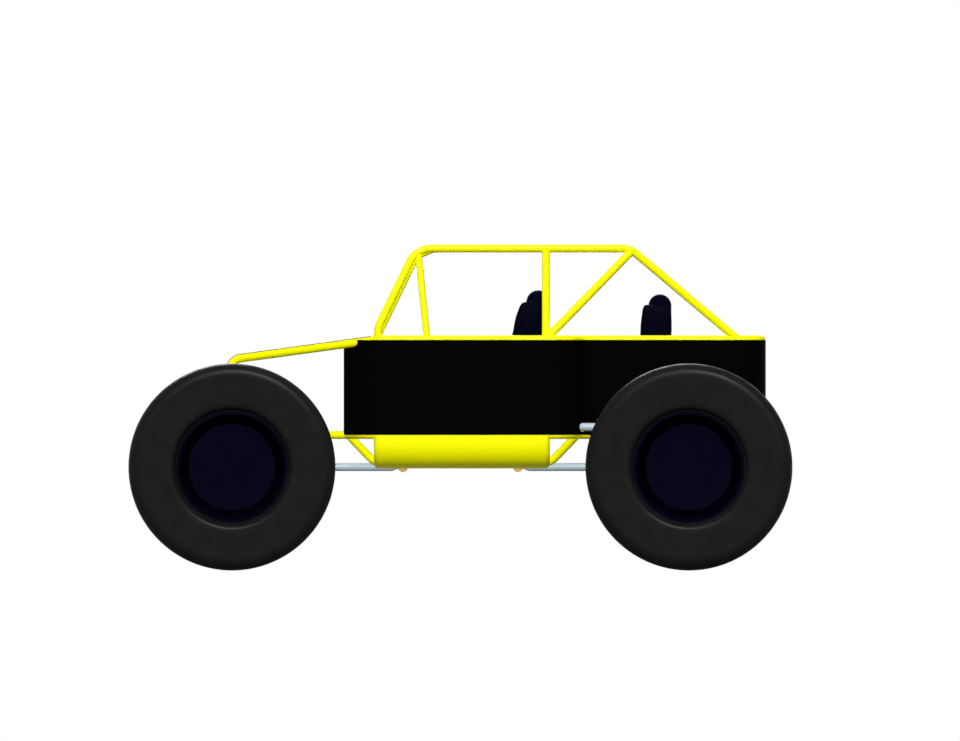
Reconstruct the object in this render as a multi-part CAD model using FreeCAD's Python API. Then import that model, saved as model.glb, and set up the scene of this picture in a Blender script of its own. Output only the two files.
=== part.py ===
import FreeCAD, Part
import math
import os

Vec = FreeCAD.Vector

# A four-seat tube-frame buggy on 45 inch tyres.
# Millimetres, +X forward, +Y to the driver's side, +Z up.
# The origin is on the ground under the middle of the wheelbase.

# ---- wheels and track ----
wheelbase = 2522.8
tyre_radius = 571.5
tyre_width = 400.0
tyre_shoulder = 62.0
half_track = 1010.0
rim_radius = 307.0            # outer lip of the wheel
rim_width = 330.0
rim_lip = 17.0                # height of the lip over the bead seat
rim_lip_width = 9.0
rim_flange = 14.4             # from the edge to the foot of the lip
rim_wall = 9.0
dish_outer_radius = 276.0
dish_inner_radius = 238.5     # flat centre disc
dish_depth = 120.0            # centre disc below the outer lip
dish_set_in = 25.0            # dish wall starts this far below the lip
disc_thickness = 14.0
disc_web = 8.0                # the disc's back is wider than its face by this
barrel_step = 45.0            # from the outer lip to the straight barrel
hub_radius = 92.0
hub_depth = 91.0              # back of the centre disc to the spindle face
running_gap = 0.3             # between a turning piece and its seat
tyre_bead_rise = 4.0          # tyre foot over the rim lip, and start of the flat sidewall
tyre_wall_rise = 50.0

# ---- brakes ----
rotor_radius = 165.0
rotor_thick = 12.0
rotor_set = 12.0              # rotor from the inner face of the hub
caliper_half = 62.0
caliper_reach = 28.0          # beyond the rotor's edge
caliper_cover = 38.0          # over the rotor's face
caliper_gap = 2.0
caliper_wall = 22.0
caliper_arm_half = 34.0
flange_radius = 80.0          # face that the wheel's hub runs against
flange_thick = 24.0

# ---- cage tube and sheet ----
tube_od = 44.45
brace_od = 38.1
die_radius = 133.35           # centreline radius of the bending die
nose_die_radius = 66.7        # tight die for the nose
sheet = 3.0

# ---- plan of the body rails (tube centres) ----
cab_half = 645.0
narrow_half = 487.0
roof_half = 575.0
jog_run = 91.22               # length over which the body narrows
cowl_x = 531.3                # corner where the cowl starts to narrow
shoulder_x = -587.8           # corner behind the front seats
tail_x = -1660.0

# ---- side view of the cage (tube centres) ----
belly_z = 588.8
lower_z = 748.3
belt_z = 1276.5
roof_z = 1778.3
pillar_x = 455.2              # foot of the windscreen pillar
pillar_bend_z = 1342.0
roof_front_x = 243.5
roof_rear_x = -935.0
stay_foot_x = -1530.0
main_hoop_x = -472.2
harness_z = 1225.0
header_x = 140.0
header_stub_y = 300.0
rear_header_x = -850.0
screen_foot_lead = 14.4       # screen leg ahead of and inside the pillar, at its foot
screen_foot_inset = 33.9
screen_top_lead = 4.2         # and at its top
screen_top_inset = 37.3
vent_foot_x = 184.0
vent_top_x = 233.0
vent_top_drop = 18.3          # brace ends below the roof line
rear_brace_top_x = -947.0
rear_brace_top_drop = 12.3

# ---- belly and nose ----
belly_front_x = 467.0
belly_rear_x = -491.0
belly_rise_run = 152.0
rear_rise_out = 15.6          # belly tubes end outside the jog of the rail
nose_x = 1269.0
nose_half = 303.0
hood_drop = 0.136             # fall of the bonnet for each unit forward
hood_root_run = 20.0          # bonnet tube starts below the belt by its fall over this
hood_bend = 60.0              # bend of the bonnet sheet over the nose
hood_edge = 8.0               # sheet outside the middle of the bonnet tube
radiator_bar_z = 1050.0
cowl_post_x = 540.0
waist_post_x = -1010.0
cross_member_x = 250.0        # belly cross members, front and rear
rocker_front_x = 478.0
rocker_rear_x = -494.0
rocker_toe = 45.225           # flat under the belly tube
rocker_round_drop = 46.725    # rounding starts below the middle of the rail
quarter_bow = 0.5523          # handle of a quarter turn, for each unit of its radius
rocker_end_round = 27.0
rocker_gap = 0.5              # between the rocker's back and the belly tube's middle
rocker_trim = 2.0             # rocker stops outside the belly tube by this

# ---- floor and tail ----
front_bar_x = 600.0           # floor bars between the lower rails
rear_bar_x = -660.0
bulkhead_x = -1180.0
engine_bar_x = -1470.0
floor_half = 460.0
cab_floor_half = 626.0
tail_seam_half = 340.0        # where the tail panel meets the side panels
hood_end_z = 1095.0
wing_gap = 10.0               # floor wings end before the floor's creases
skid_front_x = 410.0
skid_rear_x = -434.0
skid_slot_start = 80.0        # slot round a link bracket, from its bolt, and to each side
skid_slot_in = 36.0
skid_slot_out = 42.0
radiator_depth = 50.0
radiator_half = 262.0
radiator_core = 36.0
radiator_tank = 40.0
tank_round = 10.0
hose_radius = 19.0
hose_neck = 32.0
hose_inset = 45.0             # neck below the top, and above the bottom, of its tank

# ---- axles and links ----
axle_tube_radius = 44.0
housing_radius = 134.0
housing_width = 150.0
pinion_reach = 230.0
kingpin_half = 800.0
knuckle_boss_radius = 38.0
knuckle_boss_half = 92.0
yoke_ear = 28.0
yoke_width = 90.0
yoke_reach = 85.0             # back wall of the yoke behind the kingpin
yoke_wall = 25.0
hub_neck = 46.0               # spindle at the kingpin and at its flange
hub_root = 52.0
housing_neck = 96.0           # pinion housing at the axle and at its end
pinion_shoulder = 84.0
pinion_tube = 50.0
pinion_taper = 60.0
flange_lip = 18.0             # drive flange
flange_lip_radius = 62.0
bell_radius = 92.0            # bells of the axle casting
bell_end = 84.0
bell_start = 10.0
bell_run = 90.0
steer_arm = 170.0
steer_arm_lift = 55.0
steer_arm_thick = 24.0
tie_rod_radius = 19.0
rod_eye_radius = 26.0
rod_eye_height = 30.0
arm_share = 0.8               # steering arm's half width to its eye
rod_share = 0.75              # tie rod's radius to its ends
link_radius = 22.3
link_chassis_x = 317.4
link_neck = 11.55
link_neck_end = 32.0          # from the bolt, where the taper starts and where it is full
link_shoulder = 60.0
link_seat = 12.6
link_hole_gap = 3.0
link_axle_offset = 96.0       # link eye in front of or behind the axle
lower_link_chassis_half = 380.0
lower_link_axle_half = 430.0
rear_upper_link_z = 792.5
rear_upper_link_out = 61.0    # upper link outside the narrow rail
rear_upper_link_lead = 17.37  # eye ahead of where the rail crosses its bracket's outer face
front_upper_link_z = 800.0
front_upper_link_x = 800.0
front_upper_link_axle_half = 380.0
eye_radius = 28.0
joint_radius = 21.0           # ball joint housing between the ears
joint_width = 34.0
coil_joint_width = 56.0
ear_thick = 8.0
ear_seat = 18.0               # half height of an ear where it meets its tube
bolt_radius = 8.0
bolt_end = 6.0                # bolt beyond the ear
shaft_radius = 30.0
shaft_flange = 14.0
shaft_flange_radius = 58.0

# ---- coil-over dampers: eyes at the axle and at the frame ----
front_coil_axle_half = 560.0
front_coil_frame_half = 400.0
front_coil_top_z = 1085.0
rear_coil_axle_half = 680.0
rear_coil_frame_half = 600.0
rear_coil_top_z = 1060.0
coil_foot_z = 655.0
coil_radius = 52.0
damper_radius = 25.0
damper_rod = 14.0
spring_start = 70.0           # spring from the foot bolt, and its end from the head bolt
spring_end = 90.0
damper_end = 42.0
outrigger_reach = 40.0        # outrigger beyond the damper's eye
outrigger_lift = 42.0         # outrigger tube above the damper's top eye

# ---- engine ----
engine_front_x = -1200.0
engine_rear_x = -1545.0
crank_z = 905.0
drop_case_depth = 62.0
sump_half = 120.0
block_half = 150.0
head_half = 290.0             # outer corner of a cylinder head
head_top_half = 200.0
valley_half = 70.0
block_waist = 40.0            # below the crank
head_low = 150.0              # outer and top corners of a head above the crank
head_high = 250.0
valley_high = 120.0
cover_inset = 14.0            # valve cover in from the edges of its head
cover_height = 42.0
cover_round = 16.0
port_count = 4
port_radius = 21.0
port_end = 60.0               # first port from the end of the block
manifold_radius = 25.0
manifold_out = 44.0           # exhaust log off the face of the head
intake_round = 18.0
intake_half = 62.0
intake_low = 110.0
intake_inset = 30.0
drop_upper_radius = 120.0
drop_lower_radius = 86.0
drop_cap_radius = 64.0
drop_cap_depth = 12.0

# ---- seats ----
front_seat_width = 440.0
rear_seat_width = 400.0
front_seat_half = 330.0
rear_seat_half = 232.0
front_seat_lean = 13.4        # degrees
rear_seat_lean = 3.0
front_seat_x = -288.6         # foot of the seat's back
rear_seat_x = -1131.0
seat_back_thick = 114.0
bolster_thick = 162.0
bolster_width = 70.0
headrest_thick = 132.0
headrest_root = 120.0         # headrest starts below the shoulders by this

# ---- steering wheel ----
wheel_grip_radius = 165.0
wheel_grip = 13.0
column_tilt = 25.0            # degrees below level, going forward
column_radius = 20.0
steering_hub_x = 135.0
steering_hub_z = 1105.0
hub_length = 40.0
boss_radius = 27.0
spoke_width = 28.0
spoke_thick = 6.0
spoke_start = 10.0            # from the middle of the wheel
spoke_set_in = 2.0
dash_lip = 1.0                # dash sheet behind the dash bar
dash_brow = 110.0             # how far back the dash reaches at its brow, face and knee
dash_face = 150.0
dash_knee = 110.0
dash_brow_drop = 32.0         # and how far below the belt line
dash_face_drop = 150.0
dash_knee_drop = 262.0

# ---- towing eyes ----
tow_hole_radius = 13.5
tow_plate = 16.0
tow_plate_radius = 32.0
tow_half = 180.0
tow_reach = 60.0              # hole centre beyond the cross tube's axis

tube_r = tube_od / 2.0
vent_top_z = roof_z - vent_top_drop
rear_brace_top_z = roof_z - rear_brace_top_drop
rear_upper_link_half = narrow_half + rear_upper_link_out
jog_slope = (cab_half - narrow_half) / jog_run
rear_upper_ear_y = rear_upper_link_half + joint_width / 2.0 + ear_thick
rear_upper_link_front_x = shoulder_x - (cab_half - rear_upper_ear_y) / jog_slope + rear_upper_link_lead
rocker_face_y = cab_half + tube_r + sheet
axle_x = wheelbase / 2.0
axle_z = tyre_radius
running_face = half_track - hub_depth + rim_width / 2.0 - dish_depth - disc_thickness
belt_panel_top = belt_z - 3.8
up = Vec(0, 0, 1)
steering_hub = Vec(steering_hub_x, front_seat_half, steering_hub_z)


def bent_path(points, radius):
    """Straight runs joined by tangent arcs of one radius."""
    edges = []
    start = points[0]
    for i in range(1, len(points) - 1):
        corner = points[i]
        back = (points[i - 1] - corner).normalize()
        ahead = (points[i + 1] - corner).normalize()
        half_turn = (math.pi - back.getAngle(ahead)) / 2.0
        reach = radius * math.tan(half_turn)
        middle = (back + ahead).normalize() * (radius / math.cos(half_turn) - radius)
        edges.append(Part.LineSegment(start, corner + back * reach).toShape())
        arc = Part.Arc(corner + back * reach, corner + middle, corner + ahead * reach)
        edges.append(arc.toShape())
        start = corner + ahead * reach
    edges.append(Part.LineSegment(start, points[-1]).toShape())
    return Part.Wire(edges)


def tube(points, od=tube_od, radius=die_radius):
    """A tube along straight runs and bends."""
    if len(points) == 2:
        run = points[1] - points[0]
        return Part.makeCylinder(od / 2.0, run.Length, points[0], run)
    ring = Part.Wire(Part.makeCircle(od / 2.0, points[0], points[1] - points[0]))
    return bent_path(points, radius).makePipe(Part.Face(ring))


def strip(points, low_z, high_z, inner, thick, radius=die_radius):
    """A standing sheet beside a plan path, on the left of its outer side."""
    ahead = (points[1] - points[0]).normalize()
    out = ahead.cross(up)
    foot = Vec(points[0].x, points[0].y, low_z)
    rise = up * (high_z - low_z)
    near = foot + out * inner
    far = foot + out * (inner + thick)
    face = Part.Face(Part.makePolygon([near, far, far + rise, near + rise, near]))
    flat = [Vec(p.x, p.y, low_z) for p in points]
    return bent_path(flat, radius).makePipe(face)


def mirrored(shape):
    return shape.mirror(Vec(0, 0, 0), Vec(0, 1, 0))


def both(shape):
    return Part.makeCompound([shape, mirrored(shape)])


def prism(points, direction):
    return Part.Face(Part.makePolygon(points + [points[0]])).extrude(direction)


def plate(x0, x1, y0, y1, z0, z1):
    corner = Vec(min(x0, x1), min(y0, y1), min(z0, z1))
    return Part.makeBox(abs(x1 - x0), abs(y1 - y0), abs(z1 - z0), corner)


def fused(shapes):
    whole = shapes[0].multiFuse(shapes[1:]) if len(shapes) > 1 else shapes[0]
    return whole.removeSplitter()


def welded(shapes):
    """One solid from pieces that already meet face to face; the seams stay."""
    return shapes[0].fuse(shapes[1:])


def trimmed(shape, others):
    """Cut away each solid of the neighbours, so that pieces meet face to face."""
    for other in others:
        for solid in other.Solids:
            if solid.BoundBox.intersect(shape.BoundBox):
                shape = shape.cut(solid)
    return shape


def main_solid(shape):
    """The piece itself, without an offcut that a trim leaves beyond its neighbours."""
    return max(shape.Solids, key=lambda solid: solid.Volume)


def revolve_x(points, centre, axis):
    """A turned solid: points are (along the axis, radius)."""
    side = Vec(0, 0, 1) if abs(axis.z) < 0.9 else Vec(1, 0, 0)
    side = side - axis * side.dot(axis)
    side.normalize()
    corners = [centre + axis * a + side * r for a, r in points]
    return Part.Face(Part.makePolygon(corners + [corners[0]])).revolve(centre, axis, 360)


# ---- body rails -------------------------------------------------------
cowl_end = Vec(cowl_x + jog_run, narrow_half, lower_z)
rear_rise_x = belly_rear_x - belly_rise_run
rear_rise_half = cab_half - (shoulder_x - rear_rise_x) * jog_slope + rear_rise_out


def rail_corners(z):
    """Corners of the left rail in plan, from the cowl to the tail."""
    return [
        Vec(cowl_x + jog_run, narrow_half, z),
        Vec(cowl_x, cab_half, z),
        Vec(shoulder_x, cab_half, z),
        Vec(shoulder_x - jog_run, narrow_half, z),
        Vec(tail_x, narrow_half, z),
    ]


def across(left):
    """The left corners followed by the same corners on the right."""
    return left + [Vec(p.x, -p.y, p.z) for p in reversed(left)]


lower_rail = tube(across(rail_corners(lower_z)))
pillar_post = tube([Vec(pillar_x, cab_half, lower_z), Vec(pillar_x, cab_half, pillar_bend_z)])
belt_corners = [Vec(pillar_x, cab_half, belt_z)] + rail_corners(belt_z)[2:]
belt_rail = tube(across(belt_corners)).cut(both(pillar_post))

# ---- side hoop: pillar, roof and rear stay bent from one tube --------
hoop_corners = [
    Vec(pillar_x, cab_half, lower_z),
    Vec(pillar_x, cab_half, pillar_bend_z),
    Vec(roof_front_x, roof_half, roof_z),
    Vec(roof_rear_x, roof_half, roof_z),
    Vec(stay_foot_x, narrow_half, belt_z),
]
side_hoop = trimmed(tube(hoop_corners), [belt_rail, lower_rail])
hoops = both(side_hoop)


def half_width_at(z):
    """Half width of the cage between the belt and the roof."""
    return cab_half + (roof_half - cab_half) * (z - belt_z) / (roof_z - belt_z)


def cross_bar(x, z, half, od=tube_od):
    return tube([Vec(x, -half, z), Vec(x, half, z)], od)


# ---- main hoop behind the front seats ---------------------------------
post_top = Vec(main_hoop_x, roof_half, roof_z)
post_foot = Vec(main_hoop_x, cab_half, belt_z)
hoop_bar = trimmed(cross_bar(main_hoop_x, roof_z, roof_half), [hoops])
hoop_post = trimmed(tube([post_top, post_foot]), [side_hoop, belt_rail, hoop_bar])
main_hoop = welded([hoop_bar, hoop_post, mirrored(hoop_post)])

# ---- roof bars ---------------------------------------------------------
roof_bars = fused([
    cross_bar(header_x, roof_z, roof_half),
    tube([Vec(header_x, 0, roof_z), Vec(main_hoop_x, roof_half, roof_z)], brace_od),
    tube([Vec(header_x, 0, roof_z), Vec(main_hoop_x, -roof_half, roof_z)], brace_od),
])
roof_bars = trimmed(roof_bars, [hoops, main_hoop])
rear_header = cross_bar(rear_header_x, roof_z, roof_half).cut(hoops)

# ---- windscreen frame --------------------------------------------------
screen_foot = Vec(pillar_x + screen_foot_lead, cab_half - screen_foot_inset, belt_z)
screen_top = Vec(roof_front_x + screen_top_lead, roof_half - screen_top_inset, roof_z - tube_od)
dash_bar = trimmed(cross_bar(screen_foot.x, belt_z, cab_half), [hoops, belt_rail])
screen_hoop = tube(across([screen_foot, screen_top]), tube_od, nose_die_radius)
screen_hoop = trimmed(screen_hoop, [hoops, belt_rail])
header_stub = tube([Vec(screen_top.x, header_stub_y, screen_top.z),
                    Vec(header_x, header_stub_y, roof_z)], brace_od)
header_stub = trimmed(header_stub, [roof_bars])
windscreen_frame = dash_bar.fuse([screen_hoop, header_stub, mirrored(header_stub)])

# ---- braces in the side openings ---------------------------------------
vent_brace = tube([Vec(vent_foot_x, cab_half, belt_z),
                   Vec(vent_top_x, half_width_at(vent_top_z), vent_top_z)], brace_od)
rear_brace = tube([Vec(main_hoop_x, cab_half, belt_z),
                   Vec(rear_brace_top_x, roof_half, rear_brace_top_z)])
vent_brace = trimmed(vent_brace, [hoops, belt_rail])
rear_brace = trimmed(rear_brace, [hoops, belt_rail, main_hoop])
vent_braces = both(vent_brace)
rear_braces = both(rear_brace)

# ---- nose: front rails, bonnet tubes and posts --------------------------
hood_root = Vec(pillar_x, cab_half, belt_z - hood_drop * hood_root_run)
hood_tip_z = hood_root.z - hood_drop * (nose_x - pillar_x)
hood_tube = tube([hood_root, Vec(nose_x, nose_half, hood_tip_z),
                  Vec(nose_x, nose_half, lower_z)], tube_od, nose_die_radius)
hood_tube = hood_tube.cut(hoops)
front_rails = tube(across([cowl_end, Vec(nose_x, nose_half, lower_z)]), tube_od, nose_die_radius)
front_rails = front_rails.cut(lower_rail)
nose_frame = fused([
    front_rails,
    hood_tube,
    mirrored(hood_tube),
    cross_bar(nose_x, radiator_bar_z, nose_half),
])
hood_slope = (nose_half - cab_half) / (nose_x - pillar_x)
nose_frame = main_solid(trimmed(nose_frame, [hoops, windscreen_frame, belt_rail, lower_rail]))


def hood_tube_at(x):
    return Vec(x, cab_half + hood_slope * (x - pillar_x), hood_root.z - hood_drop * (x - pillar_x))


# ---- posts behind the panels -------------------------------------------
tail_post_x = tail_x + die_radius
cowl_post_top = hood_tube_at(cowl_post_x)
posts = [
    tube([Vec(cowl_post_x, cowl_post_top.y, lower_z), cowl_post_top]),
    tube([Vec(main_hoop_x, cab_half, lower_z), Vec(main_hoop_x, cab_half, belt_z)]),
    tube([Vec(waist_post_x, narrow_half, lower_z), Vec(waist_post_x, narrow_half, belt_z)]),
    tube([Vec(tail_post_x, narrow_half, lower_z), Vec(tail_post_x, narrow_half, belt_z)]),
]
posts = [trimmed(post, [lower_rail, belt_rail, nose_frame, main_hoop]) for post in posts]
body_posts = Part.makeCompound(posts + [mirrored(post) for post in posts])

# The harness bar lies behind the front seats, tied up to the roof between them.
harness_bar = trimmed(cross_bar(main_hoop_x, harness_z, cab_half), [body_posts])
harness_strut = tube([Vec(main_hoop_x, 0, harness_z), Vec(main_hoop_x, 0, roof_z)], brace_od)
harness_frame = fused([harness_bar, trimmed(harness_strut, [main_hoop])])

# ---- belly frame ---------------------------------------------------------
belly_tube = tube([
    Vec(belly_front_x + belly_rise_run, narrow_half, lower_z),
    Vec(belly_front_x, narrow_half, belly_z),
    Vec(belly_rear_x, narrow_half, belly_z),
    Vec(rear_rise_x, rear_rise_half, lower_z),
])
belly_tubes = both(trimmed(belly_tube, [lower_rail, nose_frame]))
cross_members = [trimmed(cross_bar(x, belly_z, narrow_half, brace_od), [belly_tubes])
                 for x in (cross_member_x, -cross_member_x)]
belly_frame = welded(belly_tubes.Solids + cross_members)

# ---- floor bars ----------------------------------------------------------
bar_table = [  # x, half length
    (front_bar_x, narrow_half),
    (rear_bar_x, cab_half),
    (bulkhead_x, narrow_half),
    (engine_bar_x, narrow_half),
]
inside_rails = prism([Vec(p.x, p.y, lower_z - tube_od) for p in across(rail_corners(lower_z))],
                     up * (2 * tube_od))
floor_bars = [trimmed(cross_bar(x, lower_z, half).common(inside_rails), [lower_rail, belly_frame, nose_frame])
              for x, half in bar_table]

# ---- side, tail and bonnet sheets ------------------------------------------
panel_points = rail_corners(lower_z) + [Vec(tail_x, tail_seam_half, lower_z)]
side_panel = strip(panel_points, lower_z, belt_panel_top, tube_r, sheet)
link_hole = tube([Vec(rear_upper_link_front_x, rear_upper_link_half, rear_upper_link_z),
                  Vec(-axle_x, rear_upper_link_half, rear_upper_link_z)], 2 * (link_radius + link_hole_gap))
tail_face_x = tail_x - tube_r
tail_panel = plate(tail_face_x - sheet, tail_face_x, -tail_seam_half, tail_seam_half,
                   lower_z, belt_panel_top)

hood_start = hood_tube_at(screen_foot.x + tube_r)
hood_line = bent_path([Vec(hood_start.x, 0, hood_start.z), Vec(nose_x, 0, hood_tip_z),
                       Vec(nose_x, 0, hood_end_z)], hood_bend)
hood_rise = Vec(hood_drop, 0, 1).normalize()
hood_near = Vec(hood_start.x, -cab_half, hood_start.z) + hood_rise * tube_r
hood_far = hood_near + hood_rise * sheet
hood_width = Vec(0, 2 * cab_half, 0)
hood_face = Part.Face(Part.makePolygon([hood_near, hood_far, hood_far + hood_width,
                                        hood_near + hood_width, hood_near]))
hood_outline = prism([
    Vec(pillar_x, cab_half + hood_edge, lower_z),
    Vec(nose_x, nose_half + hood_edge, lower_z),
    Vec(nose_x + tube_od, nose_half + hood_edge, lower_z),
    Vec(nose_x + tube_od, -nose_half - hood_edge, lower_z),
    Vec(nose_x, -nose_half - hood_edge, lower_z),
    Vec(pillar_x, -cab_half - hood_edge, lower_z),
], up * (roof_z - lower_z))
hood_panel = hood_line.makePipe(hood_face).common(hood_outline)
hood_panel = trimmed(hood_panel, [windscreen_frame, nose_frame])
side_panel = main_solid(trimmed(side_panel, [nose_frame, link_hole, hood_panel]))

# ---- rockers: quarter-round covers below the doors ------------------------
rocker_low = belly_z - tube_r - sheet
rocker_round_z = lower_z - rocker_round_drop


def rocker_section(inset):
    """The rocker's outer form drawn in by a thickness: a quarter turn below, its ends rounded over."""
    round_y = narrow_half + rocker_toe
    back_y = narrow_half + rocker_gap
    face_y = rocker_face_y - inset
    low = rocker_low + inset
    front = rocker_front_x - inset
    top = Vec(front, face_y, lower_z)
    turn = Vec(front, face_y, rocker_round_z)
    base = Vec(front, round_y, low)
    toe = Vec(front, back_y, low)
    back = Vec(front, back_y, lower_z)
    quarter = Part.BezierCurve()
    quarter.setPoles([turn, turn - up * (turn.z - low) * quarter_bow,
                      base + Vec(0, (face_y - round_y) * quarter_bow, 0), base])
    edges = [
        Part.LineSegment(top, turn).toShape(),
        quarter.toShape(),
        Part.LineSegment(base, toe).toShape(),
        Part.LineSegment(toe, back).toShape(),
        Part.LineSegment(back, top).toShape(),
    ]
    body = Part.Face(Part.Wire(edges)).extrude(Vec(rocker_rear_x + inset - front, 0, 0))
    rounded = [edge for edge in body.Edges
               if edge.BoundBox.XLength < inset + 1.0
               and edge.BoundBox.YMax > back_y + 1.0
               and edge.BoundBox.ZMin < lower_z - 1.0]
    return body.makeFillet(rocker_end_round - inset, rounded)


inner_space = rocker_section(sheet)
open_side = plate(rocker_rear_x + sheet, rocker_front_x - sheet, narrow_half, narrow_half + tube_r,
                  belly_z - tube_r, lower_z)
rocker = trimmed(rocker_section(0), [inner_space, open_side, belly_frame, lower_rail, side_panel])
end_trim = plate(rocker_rear_x, rocker_front_x, 0, narrow_half + tube_r + rocker_trim,
                 belly_z - tube_od, lower_z)
rocker_flat = rocker_section(0).common(plate(rocker_rear_x, rocker_front_x, 0, rocker_face_y,
                                            0, belly_z - tube_r))
rocker = fused([rocker.cut(end_trim), rocker_flat.common(end_trim)])

# ---- floor, bulkheads, skid plate, deck -------------------------------------
floor_z = belly_z + tube_r
rear_floor_z = lower_z + tube_r
crease = tube_r * math.tan(math.radians(22.5))
toe_x = belly_front_x - crease
heel_x = belly_rear_x + crease
step = rear_floor_z - floor_z
toe_rise = lower_z - floor_z
slant = sheet * math.tan(math.radians(22.5))
floor_section = [
    Vec(toe_x + toe_rise, 0, lower_z),
    Vec(toe_x, 0, floor_z),
    Vec(heel_x, 0, floor_z),
    Vec(heel_x - step, 0, rear_floor_z),
    Vec(bulkhead_x, 0, rear_floor_z),
    Vec(bulkhead_x, 0, rear_floor_z + sheet),
    Vec(heel_x - step + slant, 0, rear_floor_z + sheet),
    Vec(heel_x + slant, 0, floor_z + sheet),
    Vec(toe_x - slant, 0, floor_z + sheet),
    Vec(toe_x + toe_rise - sheet * math.sqrt(2.0), 0, lower_z),
]
floor_sheet = prism([p + Vec(0, -floor_half, 0) for p in floor_section], Vec(0, 2 * floor_half, 0))
wing = plate(heel_x + wing_gap, toe_x - wing_gap, -cab_floor_half, cab_floor_half, floor_z, floor_z + sheet)
floor_panel = trimmed(fused([floor_sheet, wing]), floor_bars + [lower_rail, belly_frame, body_posts])

firewall_top = hood_tube_at(front_bar_x).z
firewall_half = cab_half - (front_bar_x - cowl_x) * jog_slope
firewall = plate(front_bar_x - sheet, front_bar_x, -firewall_half, firewall_half, rear_floor_z,
                 firewall_top)
firewall = trimmed(firewall, [nose_frame, side_panel, mirrored(side_panel), lower_rail])
deck_z = belt_z - tube_r - sheet
bulkhead = plate(bulkhead_x - sheet, bulkhead_x, -floor_half, floor_half, rear_floor_z, deck_z)
deck_panel = plate(tail_x + tube_r, bulkhead_x, -floor_half, floor_half, deck_z, deck_z + sheet)
deck_panel = trimmed(deck_panel, [belt_rail, body_posts])

# ---- links, eyes and brackets -----------------------------------------------


def link(start, end):
    """A link tube with a necked ball joint at each end; both bolts lie along Y."""
    run = (end - start).normalize()
    length = (end - start).Length
    profile = [(link_seat, 0), (link_seat, link_neck), (link_neck_end, link_neck),
               (link_shoulder, link_radius), (length - link_shoulder, link_radius),
               (length - link_neck_end, link_neck), (length - link_seat, link_neck),
               (length - link_seat, 0)]
    body = revolve_x(profile, start, run)
    side = Vec(0, joint_width / 2.0, 0)
    joints = [Part.makeCylinder(joint_radius, joint_width, p - side, Vec(0, 1, 0)) for p in (start, end)]
    return fused([body] + joints)


def ears(eye, seat, spread=joint_width, lie=None):
    """Two ears either side of a joint, running from its bolt to a seat point, and the bolt.

    lie is the direction across the ear at its bolt, where it isn't square to the run.
    """
    run = seat - eye
    square = Vec(run.z, 0, -run.x).normalize()
    across_run = (square if lie is None else lie) * eye_radius
    across_seat = square * ear_seat
    shapes = []
    for inner in (-spread / 2.0 - ear_thick, spread / 2.0):
        offset = Vec(0, inner, 0)
        disc = Part.makeCylinder(eye_radius, ear_thick, eye + offset, Vec(0, 1, 0))
        corners = [eye + across_run + offset, seat + across_seat + offset,
                   seat - across_seat + offset, eye - across_run + offset]
        shapes.append(disc.fuse(prism(corners, Vec(0, ear_thick, 0))).removeSplitter())
    reach = spread / 2.0 + ear_thick + bolt_end
    bolt = Part.makeCylinder(bolt_radius, 2 * reach, eye - Vec(0, reach, 0), Vec(0, 1, 0))
    return fused(shapes + [bolt])


def drilled(shape, eyes):
    """A link with its bolt holes, the same size as the bolts."""
    for eye in eyes:
        hole = Part.makeCylinder(bolt_radius, 2 * coil_joint_width, eye - Vec(0, coil_joint_width, 0),
                                 Vec(0, 1, 0))
        shape = shape.cut(hole)
    return shape


lower_links = []
lower_chassis_ears = []
lower_axle_ears = []
for end in (1, -1):
    inner = Vec(end * link_chassis_x, lower_link_chassis_half, axle_z)
    outer = Vec(end * (axle_x - link_axle_offset), lower_link_axle_half, axle_z)
    lower_links.append(both(drilled(link(inner, outer), [inner, outer])))
    member = Vec(end * cross_member_x, lower_link_chassis_half, belly_z)
    lower_chassis_ears.append(ears(inner, member, lie=Vec(end, 0, 0)).cut(belly_frame))
    lower_axle_ears.append(ears(outer, Vec(end * axle_x, lower_link_axle_half, axle_z)))

front_rail_slope = (nose_half - cowl_end.y) / (nose_x - cowl_end.x)
front_upper_half = cowl_end.y + front_rail_slope * (front_upper_link_x - cowl_end.x)
front_upper_inner = Vec(front_upper_link_x, front_upper_half, front_upper_link_z)
front_upper_outer = Vec(axle_x, front_upper_link_axle_half, front_upper_link_z)
rear_upper_inner = Vec(rear_upper_link_front_x, rear_upper_link_half, rear_upper_link_z)
rear_upper_outer = Vec(-axle_x, rear_upper_link_half, rear_upper_link_z)
front_upper_links = both(drilled(link(front_upper_inner, front_upper_outer),
                                 [front_upper_inner, front_upper_outer]))
rear_upper_links = both(drilled(link(rear_upper_inner, rear_upper_outer),
                                [rear_upper_inner, rear_upper_outer]))
front_upper_ears = ears(front_upper_inner, Vec(front_upper_link_x, front_upper_half, lower_z))
rear_upper_ears = ears(rear_upper_inner, Vec(rear_upper_link_front_x, rear_upper_link_half, lower_z))
link_brackets = [trimmed(shape, [nose_frame, lower_rail, belly_frame, side_panel])
                 for shape in lower_chassis_ears + [front_upper_ears, rear_upper_ears]]

# ---- axles ---------------------------------------------------------------------
rear_centre = Vec(-axle_x, 0, axle_z)


def coil_eyes(x, axle_half, frame_x, frame_half, top_z):
    return Vec(x, axle_half, coil_foot_z), Vec(frame_x, frame_half, top_z)


front_coil = coil_eyes(axle_x, front_coil_axle_half, nose_x, front_coil_frame_half, front_coil_top_z)
rear_coil = coil_eyes(-axle_x, rear_coil_axle_half, -axle_x, rear_coil_frame_half, rear_coil_top_z)

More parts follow.
